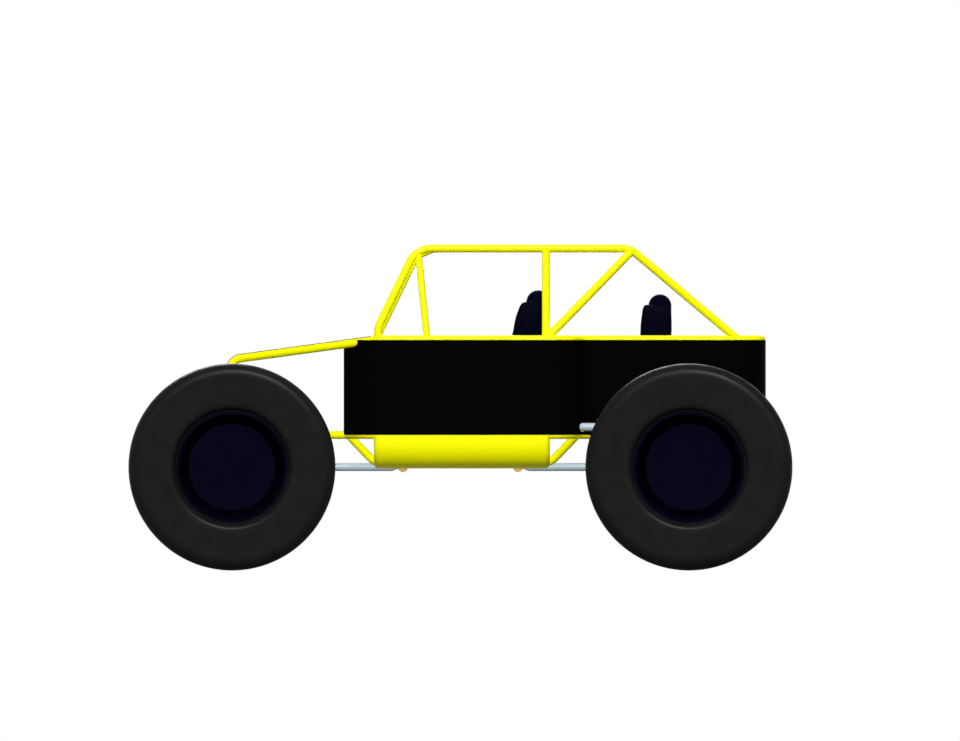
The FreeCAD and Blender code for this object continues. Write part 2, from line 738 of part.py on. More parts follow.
yoke_back = kingpin_half - yoke_reach
yoke_half = knuckle_boss_half + running_gap + yoke_ear
yoke = plate(axle_x - yoke_width / 2.0, axle_x + yoke_width / 2.0, yoke_back - yoke_wall,
             kingpin_half, axle_z - yoke_half, axle_z + yoke_half)
yoke = yoke.fuse(Part.makeCylinder(yoke_width / 2.0, 2 * yoke_half,
                                   Vec(axle_x, kingpin_half, axle_z - yoke_half), up))
mouth = plate(axle_x - yoke_width, axle_x + yoke_width, yoke_back, kingpin_half + yoke_width,
              axle_z - knuckle_boss_half - running_gap, axle_z + knuckle_boss_half + running_gap)
yoke = yoke.cut(mouth).removeSplitter()
front_beam = tube([Vec(axle_x, yoke_wall - yoke_back, axle_z), Vec(axle_x, yoke_back - yoke_wall, axle_z)],
                  2 * axle_tube_radius)
front_tower = ears(front_upper_outer, Vec(axle_x, front_upper_link_axle_half, axle_z))
front_coil_ears = ears(front_coil[0], Vec(axle_x, front_coil_axle_half, axle_z), coil_joint_width)
front_side = [yoke, front_tower, front_coil_ears, lower_axle_ears[0]]
front_axle = fused([front_beam] + front_side + [mirrored(shape) for shape in front_side])

housing = Part.makeSphere(housing_radius, rear_centre)
housing = housing.common(plate(-axle_x - housing_radius, -axle_x + housing_radius, -housing_width / 2.0,
                               housing_width / 2.0, axle_z - housing_radius, axle_z + housing_radius))
nose_profile = [
    (0, 0), (0, housing_neck), (housing_radius - link_neck_end, pinion_shoulder),
    (pinion_reach - pinion_taper, pinion_tube), (pinion_reach - flange_lip, pinion_tube),
    (pinion_reach - flange_lip, flange_lip_radius), (pinion_reach, flange_lip_radius), (pinion_reach, 0),
]
pinion = revolve_x(nose_profile, rear_centre, Vec(-1, 0, 0))
bell_mouth = housing_width / 2.0 + bell_start
seat_face = running_face - running_gap
bell_profile = [
    (0, 0), (0, bell_radius), (bell_mouth, bell_end), (bell_mouth + bell_run, axle_tube_radius),
    (seat_face - flange_thick, axle_tube_radius), (seat_face - flange_thick, flange_radius),
    (seat_face, flange_radius), (seat_face, 0),
]
rear_half_axle = revolve_x(bell_profile, rear_centre, Vec(0, 1, 0))


def caliper(centre, side, way):
    """A brake caliper astride the rotor, on an arm from the hub's flange; way is 1 ahead, -1 behind."""
    inner = running_face + rotor_set - caliper_gap
    outer = inner + rotor_thick + 2 * caliper_gap
    edge = rotor_radius + caliper_reach

    def disc(radius, low, high):
        foot = Vec(centre.x, side * low, centre.z)
        return Part.makeCylinder(radius, high - low, foot, Vec(0, side, 0))

    def slab(near, far, half, low, high):
        return plate(centre.x + way * near, centre.x + way * far, side * low, side * high,
                     centre.z - half, centre.z + half)

    body = disc(edge, inner - caliper_wall, outer + caliper_wall)
    body = body.common(slab(rotor_radius - caliper_cover, edge, caliper_half,
                            inner - caliper_wall, outer + caliper_wall))
    body = body.cut(disc(rotor_radius + caliper_gap, inner, outer))
    arm = slab(0, rotor_radius, caliper_arm_half, seat_face - flange_thick, seat_face)
    return [body, arm]


rear_tower = ears(rear_upper_outer, Vec(-axle_x, rear_upper_link_half, axle_z))
rear_coil_ears = ears(rear_coil[0], Vec(-axle_x, rear_coil_axle_half, axle_z), coil_joint_width)
rear_side = [rear_half_axle, rear_tower, rear_coil_ears, lower_axle_ears[1]]
rear_side += caliper(rear_centre, 1, 1)
rear_axle = fused([housing, pinion] + rear_side + [mirrored(shape) for shape in rear_side])

# ---- coil-overs and the outriggers that carry them --------------------------------


def coil_over(foot, head):
    """Damper body, rod and spring sleeve between two eyes."""
    run = (head - foot).normalize()
    length = (head - foot).Length
    profile = [
        (0, 0), (0, damper_rod), (spring_start, damper_rod), (spring_start, coil_radius),
        (length - spring_end, coil_radius), (length - spring_end, damper_radius),
        (length - damper_end, damper_radius), (length - damper_end, damper_rod),
        (length, damper_rod), (length, 0),
    ]
    body = revolve_x(profile, foot, run)
    side = Vec(0, coil_joint_width / 2.0, 0)
    joints = [Part.makeCylinder(joint_radius, coil_joint_width, p - side, Vec(0, 1, 0)) for p in (foot, head)]
    return drilled(fused([body] + joints), [foot, head])


front_coils = both(coil_over(*front_coil))
rear_coils = both(coil_over(*rear_coil))
front_arm_z = front_coil_top_z + outrigger_lift
rear_arm_z = rear_coil_top_z + outrigger_lift
front_outrigger = tube([Vec(nose_x, nose_half, front_arm_z),
                        Vec(nose_x, front_coil_frame_half + outrigger_reach, front_arm_z)], brace_od)
rear_outrigger = tube([Vec(-axle_x, narrow_half, rear_arm_z),
                       Vec(-axle_x, rear_coil_frame_half + outrigger_reach, rear_arm_z)], brace_od)
coil_post = tube([Vec(-axle_x, narrow_half, lower_z), Vec(-axle_x, narrow_half, belt_z)])
coil_post = trimmed(coil_post, [lower_rail, belt_rail])
front_head_ears = ears(front_coil[1], front_coil[1] + up * outrigger_lift, coil_joint_width)
rear_head_ears = ears(rear_coil[1], rear_coil[1] + up * outrigger_lift, coil_joint_width)
front_mount = trimmed(fused([front_outrigger, front_head_ears]), [nose_frame])
rear_mount = fused([rear_outrigger, rear_head_ears, coil_post])
coil_mounts = Part.makeCompound([front_mount, mirrored(front_mount), rear_mount, mirrored(rear_mount)])
side_panel = side_panel.cut(rear_mount)

# ---- hubs: knuckles, tie rod --------------------------------------------------------
spindle_end = seat_face - kingpin_half
spindle_profile = [
    (0, 0), (0, hub_neck), (spindle_end - flange_thick, hub_root),
    (spindle_end - flange_thick, flange_radius), (spindle_end, flange_radius), (spindle_end, 0),
]


def knuckle(side):
    pivot = Vec(axle_x, side * kingpin_half, axle_z)
    boss = Part.makeCylinder(knuckle_boss_radius, 2 * knuckle_boss_half,
                             pivot - up * knuckle_boss_half, up)
    spindle = revolve_x(spindle_profile, pivot, Vec(0, side, 0))
    arm_z = axle_z + steer_arm_lift - steer_arm_thick / 2.0
    arm_half = rod_eye_radius * arm_share
    arm = plate(axle_x, axle_x + steer_arm, pivot.y - arm_half, pivot.y + arm_half,
                arm_z, arm_z + steer_arm_thick)
    tip = Part.makeCylinder(rod_eye_radius, steer_arm_thick, Vec(axle_x + steer_arm, pivot.y, arm_z), up)
    return fused([boss, spindle, arm, tip] + caliper(pivot, side, -1))


rod_z = axle_z + steer_arm_lift + steer_arm_thick / 2.0 + running_gap
rod_x = axle_x + steer_arm
tie_rod = fused(
    [tube([Vec(rod_x, -kingpin_half, rod_z + rod_eye_height / 2.0),
           Vec(rod_x, kingpin_half, rod_z + rod_eye_height / 2.0)], 2 * tie_rod_radius * rod_share)]
    + [Part.makeCylinder(rod_eye_radius, rod_eye_height, Vec(rod_x, side * kingpin_half, rod_z), up)
       for side in (1, -1)])

# ---- wheels ---------------------------------------------------------------------------


def rim(centre, side):
    """A deep-dish wheel turned as one: barrel, dish, centre disc, hub and brake rotor."""
    half = rim_width / 2.0
    seat = rim_radius - rim_lip
    barrel = seat - rim_wall
    disc = half - dish_depth
    back = disc - disc_thickness
    hub = back - hub_depth
    profile = [
        (-half, rim_radius), (rim_lip_width - half, rim_radius), (rim_flange - half, seat),
        (half - rim_flange, seat), (half - rim_lip_width, rim_radius), (half, rim_radius),
        (half, seat), (half - dish_set_in, dish_outer_radius), (disc, dish_inner_radius),
        (disc, 0), (hub, 0), (hub, hub_radius),
        (hub + rotor_set, hub_radius), (hub + rotor_set, rotor_radius),
        (hub + rotor_set + rotor_thick, rotor_radius), (hub + rotor_set + rotor_thick, hub_radius),
        (back, hub_radius), (back, dish_inner_radius + disc_web), (half - barrel_step, barrel),
        (rim_flange - half, barrel), (rim_lip_width - half, seat), (-half, seat),
    ]
    return revolve_x(profile, centre, Vec(0, side, 0))


def tyre(centre, side):
    """A smooth carcass: sidewalls, rounded shoulders and a flat tread band."""
    half = tyre_width / 2.0
    seat = rim_radius - rim_lip
    bead = rim_width / 2.0 - rim_flange
    foot = rim_radius + tyre_bead_rise
    wall = rim_radius + tyre_wall_rise
    crown = tyre_radius
    shoulder = tyre_shoulder
    lean = shoulder * (1.0 - math.sqrt(0.5))

    def at(a, r):
        return centre + Vec(0, side * a, 0) + up * r

    def shoulder_arc(way):
        return Part.Arc(at(way * half, crown - shoulder), at(way * (half - lean), crown - lean),
                        at(way * (half - shoulder), crown)).toShape()

    outline = [
        Part.LineSegment(at(-bead, seat), at(-bead, foot)).toShape(),
        Part.LineSegment(at(-bead, foot), at(-half, wall)).toShape(),
        Part.LineSegment(at(-half, wall), at(-half, crown - shoulder)).toShape(),
        shoulder_arc(-1),
        Part.LineSegment(at(shoulder - half, crown), at(half - shoulder, crown)).toShape(),
        shoulder_arc(1),
        Part.LineSegment(at(half, crown - shoulder), at(half, wall)).toShape(),
        Part.LineSegment(at(half, wall), at(bead, foot)).toShape(),
        Part.LineSegment(at(bead, foot), at(bead, seat)).toShape(),
        Part.LineSegment(at(bead, seat), at(-bead, seat)).toShape(),
    ]
    return Part.Face(Part.Wire(outline)).revolve(centre, Vec(0, side, 0), 360)


# ---- engine, drop case and short shaft ---------------------------------------------------
engine_base = rear_floor_z
half_section = [  # half width, height
    (sump_half, engine_base),
    (block_half, crank_z - block_waist),
    (head_half, crank_z + head_low),
    (head_top_half, crank_z + head_high),
    (valley_half, crank_z + valley_high),
]
section = half_section + [(-y, z) for y, z in reversed(half_section)]
engine_run = Vec(engine_rear_x - engine_front_x, 0, 0)
block = prism([Vec(engine_front_x, y, z) for y, z in section], engine_run)
intake = plate(engine_front_x - intake_inset, engine_rear_x + intake_inset, -intake_half, intake_half,
               crank_z + intake_low, crank_z + head_high)
intake = intake.makeFillet(intake_round, [edge for edge in intake.Edges
                                          if edge.BoundBox.ZMin > crank_z + intake_low + 1.0])

# A rounded cover on the face of one bank, between its outer and its top corner.
head_outer = Vec(engine_front_x, head_half, crank_z + head_low)
head_inner = Vec(engine_front_x, head_top_half, crank_z + head_high)
head_face = (head_inner - head_outer).normalize()
head_out = Vec(0, head_face.z, -head_face.y)
cover_low = head_outer + head_face * cover_inset - Vec(cover_inset, 0, 0)
cover_top = head_inner - head_face * cover_inset - Vec(cover_inset, 0, 0)
cover_lift = head_out * cover_height
cover = prism([cover_low, cover_top, cover_top + cover_lift, cover_low + cover_lift],
              engine_run + Vec(2 * cover_inset, 0, 0))
cover_face = max(cover.Faces, key=lambda face: face.CenterOfMass.dot(head_out))
cover = cover.makeFillet(cover_round, cover_face.Edges)

# The exhaust side of the same bank: one stub for each cylinder into a log along the head.
block_corner = Vec(engine_front_x, block_half, crank_z - block_waist)
port_face = (head_outer - block_corner).normalize()
port_out = Vec(0, port_face.z, -port_face.y)
port_foot = (head_outer + block_corner) * 0.5
port_pitch = (engine_front_x - engine_rear_x - 2 * port_end) / (port_count - 1)
exhaust = []
for port in range(port_count):
    foot = port_foot - Vec(port_end + port * port_pitch, 0, 0)
    exhaust.append(Part.makeCylinder(port_radius, manifold_out, foot, port_out))
log_start = port_foot + port_out * manifold_out - Vec(port_end - manifold_radius, 0, 0)
log_end = log_start + engine_run + Vec(port_end - manifold_radius, 0, 0)
exhaust.append(tube([log_start, log_end], 2 * manifold_radius))
bank = [cover] + exhaust
engine_block = fused([block, intake] + bank + [mirrored(shape) for shape in bank])

# The drop case wraps both of its gear centres with tangent walls.
case_run = Vec(-1, 0, 0)
wrap = math.asin((drop_upper_radius - drop_lower_radius) / (crank_z - axle_z))


def wrap_point(radius, z, side):
    """Where the tangent wall leaves a gear's circle."""
    return Vec(engine_rear_x, side * radius * math.cos(wrap), z + radius * math.sin(wrap))


wrap_corners = [wrap_point(drop_upper_radius, crank_z, 1), wrap_point(drop_upper_radius, crank_z, -1),
                wrap_point(drop_lower_radius, axle_z, -1), wrap_point(drop_lower_radius, axle_z, 1)]
drop_case = fused([
    Part.makeCylinder(drop_upper_radius, drop_case_depth, Vec(engine_rear_x, 0, crank_z), case_run),
    Part.makeCylinder(drop_lower_radius, drop_case_depth, Vec(engine_rear_x, 0, axle_z), case_run),
    prism(wrap_corners, case_run * drop_case_depth),
    Part.makeCylinder(drop_cap_radius, drop_case_depth + drop_cap_depth,
                      Vec(engine_rear_x, 0, crank_z), case_run),
])
shaft_length = -engine_rear_x - axle_x - pinion_reach
short_shaft = revolve_x([
    (0, 0), (0, shaft_flange_radius), (shaft_flange, shaft_flange_radius), (shaft_flange, shaft_radius),
    (shaft_length - shaft_flange, shaft_radius), (shaft_length - shaft_flange, shaft_flange_radius),
    (shaft_length, shaft_flange_radius), (shaft_length, 0),
], Vec(-axle_x - pinion_reach, 0, axle_z), Vec(-1, 0, 0))

# ---- radiator: core between two tanks, each with a hose neck on its rear face ---------------
radiator_low = lower_z + tube_r
radiator_top = radiator_bar_z - tube_r
core_half = radiator_half - radiator_tank
core = plate(nose_x - radiator_core / 2.0, nose_x + radiator_core / 2.0, -core_half, core_half,
             radiator_low, radiator_top)
tank_back = nose_x - radiator_depth / 2.0
tank = plate(tank_back, tank_back + radiator_depth, core_half, radiator_half, radiator_low, radiator_top)
tank = tank.makeFillet(tank_round, [edge for edge in tank.Edges
                                    if edge.BoundBox.ZLength > radiator_depth
                                    and edge.BoundBox.YMin > core_half + 1.0])
neck_y = radiator_half - radiator_tank / 2.0
necks = [Part.makeCylinder(hose_radius, hose_neck, Vec(tank_back, side * neck_y, z), Vec(-1, 0, 0))
         for side, z in ((1, radiator_top - hose_inset), (-1, radiator_low + hose_inset))]
radiator = fused([core, tank, mirrored(tank)] + necks)

# ---- skid plate -----------------------------------------------------------------------------
skid_plate = plate(skid_rear_x, skid_front_x, -narrow_half, narrow_half, belly_z - tube_r - sheet,
                   belly_z - tube_r)
for end, edge in ((1, skid_front_x), (-1, skid_rear_x)):
    slot = plate(end * (link_chassis_x - skid_slot_start), edge, lower_link_chassis_half - skid_slot_in,
                 lower_link_chassis_half + skid_slot_out, belly_z - tube_od, belly_z)
    skid_plate = trimmed(skid_plate, [slot, mirrored(slot)])
skid_plate = trimmed(skid_plate, link_brackets + [mirrored(shape) for shape in link_brackets])

# ---- seats ------------------------------------------------------------------------------------


def seat(x, y, z, lean, width, cushion_top, cushion_length, shoulder, slope, back_height):
    """A bucket seat: cushion, back with side bolsters and a round-topped headrest."""
    tilt = math.radians(lean)
    rise = Vec(-math.sin(tilt), 0, math.cos(tilt))
    ahead = Vec(math.cos(tilt), 0, math.sin(tilt))
    half = width / 2.0
    inner = half - bolster_width
    radius = headrest_thick / 2.0

    def slab(outline, low_y, high_y):
        """Outline points are (ahead, up) along the leaning back."""
        corners = [Vec(x, y + low_y, z) + ahead * a + rise * r for a, r in outline]
        return prism(corners, Vec(0, high_y - low_y, 0))

    back = [(0, 0), (seat_back_thick, 0), (seat_back_thick, shoulder), (0, shoulder)]
    bolster = [(0, cushion_top), (bolster_thick, cushion_top), (bolster_thick, shoulder - slope),
               (bolster_thick - slope, shoulder), (0, shoulder)]
    neck = [(0, shoulder - headrest_root), (headrest_thick, shoulder - headrest_root),
            (headrest_thick, back_height - radius), (0, back_height - radius)]
    head = Vec(x, y - inner, z) + ahead * radius + rise * (back_height - radius)
    shapes = [
        slab(back, -half, half),
        slab(bolster, -half, -inner),
        slab(bolster, inner, half),
        slab(neck, -inner, inner),
        Part.makeCylinder(radius, 2 * inner, head, Vec(0, 1, 0)),
        plate(x, x + cushion_length, y - half, y + half, z, z + cushion_top),
    ]
    below = plate(x - back_height, x + back_height, y - width, y + width, z - back_height, z)
    return fused(shapes).cut(below)


front_seat_z = floor_z + sheet + running_gap
rear_seat_z = rear_floor_z + sheet + running_gap
seat_table = [
    # row, foot x, half spacing, floor, lean, width,
    #     cushion top, cushion length, shoulder, slope of the shoulder, back height
    ("front", front_seat_x, front_seat_half, front_seat_z, front_seat_lean, front_seat_width,
     185.0, 560.0, 873.0, 34.0, 943.0),
    ("rear", rear_seat_x, rear_seat_half, rear_seat_z, rear_seat_lean, rear_seat_width,
     105.0, 500.0, 683.0, 15.0, 750.0),
]
seats = {}
for row, foot_x, spacing, *sizes in seat_table:
    seats["seat_" + row + "_left"] = seat(foot_x, spacing, *sizes)
    seats["seat_" + row + "_right"] = seat(foot_x, -spacing, *sizes)

# ---- dash, column and steering wheel -----------------------------------------------------------
column_run = Vec(math.cos(math.radians(column_tilt)), 0, -math.sin(math.radians(column_tilt)))
column_start = steering_hub + column_run * (hub_length + running_gap)
column_length = (front_bar_x - sheet - column_start.x) / column_run.x
column_raw = Part.makeCylinder(column_radius, column_length + 2 * column_radius, column_start, column_run)
steering_column = column_raw.cut(plate(front_bar_x - sheet, nose_x, -cab_half, cab_half, lower_z, belt_z))
dash_front = screen_foot.x - tube_r
dash_line = [
    (dash_front + dash_lip, belt_z),
    (dash_front - dash_brow, belt_z - dash_brow_drop),
    (dash_front - dash_face, belt_z - dash_face_drop),
    (dash_front - dash_knee, belt_z - dash_knee_drop),
]
dash_half = cab_half - tube_od
dash_points = [Vec(x, -dash_half, z) for x, z in dash_line]
dash_back = [Vec(x + sheet, -dash_half, z - sheet) for x, z in reversed(dash_line)]
dash_panel = prism(dash_points + dash_back, Vec(0, 2 * dash_half, 0))
dash_panel = trimmed(dash_panel, [windscreen_frame, belt_rail, hoops, column_raw])

grip = Part.makeTorus(wheel_grip_radius, wheel_grip, steering_hub, column_run)
hub_disc = Part.makeCylinder(boss_radius, hub_length, steering_hub, column_run)
spokes = []
for turn in (90, 210, 330):
    angle = math.radians(turn)
    side_way = Vec(0, 1, 0)
    top_way = column_run.cross(side_way)
    way = side_way * math.cos(angle) + top_way * math.sin(angle)
    wide = column_run.cross(way) * (spoke_width / 2.0)
    near = steering_hub + way * spoke_start - wide + column_run * spoke_set_in
    far = steering_hub + way * wheel_grip_radius - wide + column_run * spoke_set_in
    spokes.append(prism([near, far, far + wide * 2.0, near + wide * 2.0], column_run * spoke_thick))
steering_wheel = fused([grip, hub_disc] + spokes)

# ---- towing eyes -----------------------------------------------------------------------------------


def tow_eye(x, end, z):
    eye = Vec(x + end * tow_reach, tow_half - tow_plate / 2.0, z)
    disc = Part.makeCylinder(tow_plate_radius, tow_plate, eye, Vec(0, 1, 0))
    arm = plate(x, eye.x, eye.y, eye.y + tow_plate, z - tow_plate_radius, z + tow_plate_radius)
    hole = Part.makeCylinder(tow_hole_radius, tow_plate, eye, Vec(0, 1, 0))
    return disc.fuse(arm).cut(hole).removeSplitter()


tow_z = lower_z - tow_plate_radius
front_tow = trimmed(tow_eye(nose_x, 1, tow_z), [nose_frame])
rear_tow = trimmed(tow_eye(tail_x, -1, tow_z), [lower_rail])
tow_eyes = Part.makeCompound([front_tow, mirrored(front_tow), rear_tow, mirrored(rear_tow)])

nodes = {
    "side_hoop_left": side_hoop,
    "side_hoop_right": mirrored(side_hoop),
    "belt_rail": belt_rail,
    "lower_rail": lower_rail,
    "main_hoop": main_hoop,
    "harness_frame": harness_frame,
    "roof_bars": Part.makeCompound([roof_bars, rear_header]),
    "windscreen_frame": windscreen_frame,
    "vent_braces": vent_braces,
    "rear_braces": rear_braces,
    "nose_frame": nose_frame,
    "body_posts": body_posts,
    "belly_frame": belly_frame,
    "floor_bars": Part.makeCompound(floor_bars),
    "side_panel_left": side_panel,
    "side_panel_right": mirrored(side_panel),
    "tail_panel": tail_panel,
    "hood_panel": hood_panel,
    "rocker_left": rocker,
    "rocker_right": mirrored(rocker),
    "floor_panel": floor_panel,
    "firewall": firewall,
    "bulkhead": bulkhead,
    "deck_panel": deck_panel,
    "skid_plate": skid_plate,
    "link_brackets": Part.makeCompound([both(shape) for shape in link_brackets]),
    "lower_links": Part.makeCompound(lower_links),
    "upper_links": Part.makeCompound([front_upper_links, rear_upper_links]),
    "coil_overs_front": front_coils,
    "coil_overs_rear": rear_coils,
    "coil_mounts": coil_mounts,
    "front_axle": front_axle,
    "rear_axle": rear_axle,
    "knuckle_left": knuckle(1),
    "knuckle_right": knuckle(-1),
    "tie_rod": tie_rod,
    "engine_block": engine_block,
    "drop_case": drop_case,
    "short_shaft": short_shaft,
    "radiator": radiator,
    "dash_panel": dash_panel,
    "steering_column": steering_column,
    "steering_wheel": steering_wheel,
    "tow_eyes": tow_eyes,
}
nodes.update(seats)
for end, way in (("front", 1), ("rear", -1)):
    for hand, side in (("left", 1), ("right", -1)):
        centre = Vec(way * axle_x, side * half_track, axle_z)
        nodes["rim_" + end + "_" + hand] = rim(centre, side)
        nodes["tyre_" + end + "_" + hand] = tyre(centre, side)

os.makedirs("parts", exist_ok=True)
for name, shape in nodes.items():
    shape.exportStep("parts/" + name + ".step")
    print(name, len(shape.Solids), "solids", round(shape.Volume / 1e6, 3), "litres", shape.isValid())
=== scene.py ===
import bmesh
import bpy
import math
import numpy as np
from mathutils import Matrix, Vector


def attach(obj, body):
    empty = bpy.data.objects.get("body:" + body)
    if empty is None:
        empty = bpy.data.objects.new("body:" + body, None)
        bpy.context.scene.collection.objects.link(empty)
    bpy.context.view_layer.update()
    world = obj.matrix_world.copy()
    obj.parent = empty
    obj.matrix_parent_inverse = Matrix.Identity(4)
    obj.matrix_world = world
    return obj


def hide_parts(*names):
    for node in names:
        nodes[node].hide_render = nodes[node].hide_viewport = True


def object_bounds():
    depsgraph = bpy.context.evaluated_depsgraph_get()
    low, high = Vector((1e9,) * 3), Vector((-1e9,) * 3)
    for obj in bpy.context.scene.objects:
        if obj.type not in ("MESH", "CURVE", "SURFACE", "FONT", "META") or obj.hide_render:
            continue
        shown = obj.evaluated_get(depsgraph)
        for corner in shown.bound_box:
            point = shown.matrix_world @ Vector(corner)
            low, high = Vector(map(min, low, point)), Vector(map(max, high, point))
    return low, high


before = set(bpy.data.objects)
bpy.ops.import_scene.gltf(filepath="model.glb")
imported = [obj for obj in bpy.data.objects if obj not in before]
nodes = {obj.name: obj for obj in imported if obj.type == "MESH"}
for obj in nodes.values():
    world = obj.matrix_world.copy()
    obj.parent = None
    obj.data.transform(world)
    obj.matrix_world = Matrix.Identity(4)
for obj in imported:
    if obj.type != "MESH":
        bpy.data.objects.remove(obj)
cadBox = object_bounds()
scene = bpy.context.scene
print("frame loaded:", len(nodes), "nodes")

hands = [("left", 1), ("right", -1)]
mirrors = [np.array((1, side, 1)) for _, side in hands]
wheelForm = {"axles": {"front": 1.2614, "rear": -1.2614}, "height": 0.5715, "track": 1.01}
wheels = [(end + "_" + hand, end, x, side) for end, x in wheelForm["axles"].items() for hand, side in hands]


def placed(name, data):
    # a new object in the scene, at the origin
    thing = bpy.data.objects.new(name, data)
    scene.collection.objects.link(thing)
    return thing


# ---- camera ----
camera = {"middle": (-0.1079, 1.1043), "distance": 9.0, "width": 5.299}

lens = bpy.data.cameras.new("sideView")
lens.type = "ORTHO"
lens.ortho_scale = camera["width"]
viewer = placed("sideView", lens)
viewer.location = (camera["middle"][0], camera["distance"], camera["middle"][1])
viewer.rotation_euler = (math.radians(90), 0, math.radians(180))
scene.camera = viewer
scene.view_settings.view_transform = "Standard"


# ---- shader nodes ----
def fill(node, inputs):
    # each named input gets a value, or a link from a socket
    for key, value in inputs.items():
        if isinstance(value, bpy.types.NodeSocket):
            node.id_data.links.new(value, node.inputs[key])
        else:
            node.inputs[key].default_value = value
    return node


def newNode(tree, kind, inputs, **options):
    # options come first, because they decide which inputs there are
    node = tree.nodes.new("ShaderNode" + kind)
    for key, value in options.items():
        setattr(node, key, value)
    return fill(node, inputs)


def mathNode(operation, *values):
    # one Math node; the first value is a socket, the others are sockets or numbers
    return newNode(values[0].id_data, "Math", dict(enumerate(values)), operation=operation).outputs[0]


def lengthOf(place):
    return newNode(place.id_data, "VectorMath", {0: place}, operation="LENGTH").outputs["Value"]


def seenDirectly(tree):
    # 1 for rays from the camera, from gloss or through glass
    path = newNode(tree, "LightPath", {}).outputs
    gloss = mathNode("MAXIMUM", path["Is Glossy Ray"], path["Is Transmission Ray"])
    return mathNode("MAXIMUM", path["Is Camera Ray"], gloss)


# ---- light, floor and background ----
studio = {
    "ambient": 0.3,
    "lamps": [  # name, tilt from straight down, turn about Z, strength, softness, shadows, lights matt skins
        ("keyLamp", 58, 176, 2.85, 10, False, True),
        ("farLamp", 55, 10, 1.9, 25, True, True),
        ("glossLamp", 54.2, 193.5, 6.0, 6, True, False),
    ],
    "floorSize": 60.0,
    "fadeFrom": 3.2,
    "fadeTo": 7.5,
    "floorSeen": 0.62,
    "floorBounce": 0.28,        # what the floor gives back to the car's underside
}


def whiteLevel(tree):
    # full white where it is seen directly, the ambient level for light that falls on things
    return mathNode("MULTIPLY_ADD", seenDirectly(tree), 1 - studio["ambient"], studio["ambient"])


made = {}


def newMaterial(name, surface, *details):
    # a principled material, with the inputs that surface(tree, ...) gives
    made[name] = material = bpy.data.materials.new(name)
    material.use_nodes = True
    tree = material.node_tree
    fill(tree.nodes["Principled BSDF"], surface(tree, *details))


def floorSurface(tree):
    # matt grey near the car, fading by distance from the middle into plain white; no principled inputs
    fade = newNode(tree, "MapRange", {
        "Value": lengthOf(newNode(tree, "TexCoord", {}).outputs["Object"]),
        "From Min": studio["fadeFrom"], "From Max": studio["fadeTo"]}, interpolation_type="SMOOTHSTEP")
    grey = mathNode("MULTIPLY_ADD", seenDirectly(tree), studio["floorSeen"] - studio["floorBounce"],
                    studio["floorBounce"])
    matt = newNode(tree, "BsdfDiffuse", {"Color": grey})
    glow = newNode(tree, "Emission", {"Strength": whiteLevel(tree)})
    mix = newNode(tree, "MixShader", {"Fac": fade.outputs["Result"], 1: matt.outputs[0], 2: glow.outputs[0]})
    fill(tree.nodes["Material Output"], {"Surface": mix.outputs[0]})
    return {}


world = bpy.data.worlds.new("studio")
scene.world = world
world.use_nodes = True
fill(world.node_tree.nodes["Background"], {"Color": (1, 1, 1, 1), "Strength": whiteLevel(world.node_tree)})

for name, tilt, turn, strength, softness, shaded, matt in studio["lamps"]:
    sun = bpy.data.lights.new(name, "SUN")
    sun.energy, sun.angle, sun.use_shadow = strength, math.radians(softness), shaded
    lamp = placed(name, sun)
    lamp.rotation_euler = (math.radians(tilt), 0, math.radians(turn))
    lamp.visible_diffuse = matt

edge = studio["floorSize"] / 2
floorMesh = bpy.data.meshes.new("floor")
floorMesh.from_pydata([(-edge, -edge, 0), (edge, -edge, 0), (edge, edge, 0), (-edge, edge, 0)], [],
                      [(0, 1, 2, 3)])
newMaterial("studioFloor", floorSurface)
floorMesh.materials.append(made["studioFloor"])
placed("floor", floorMesh)
print("studio ready")

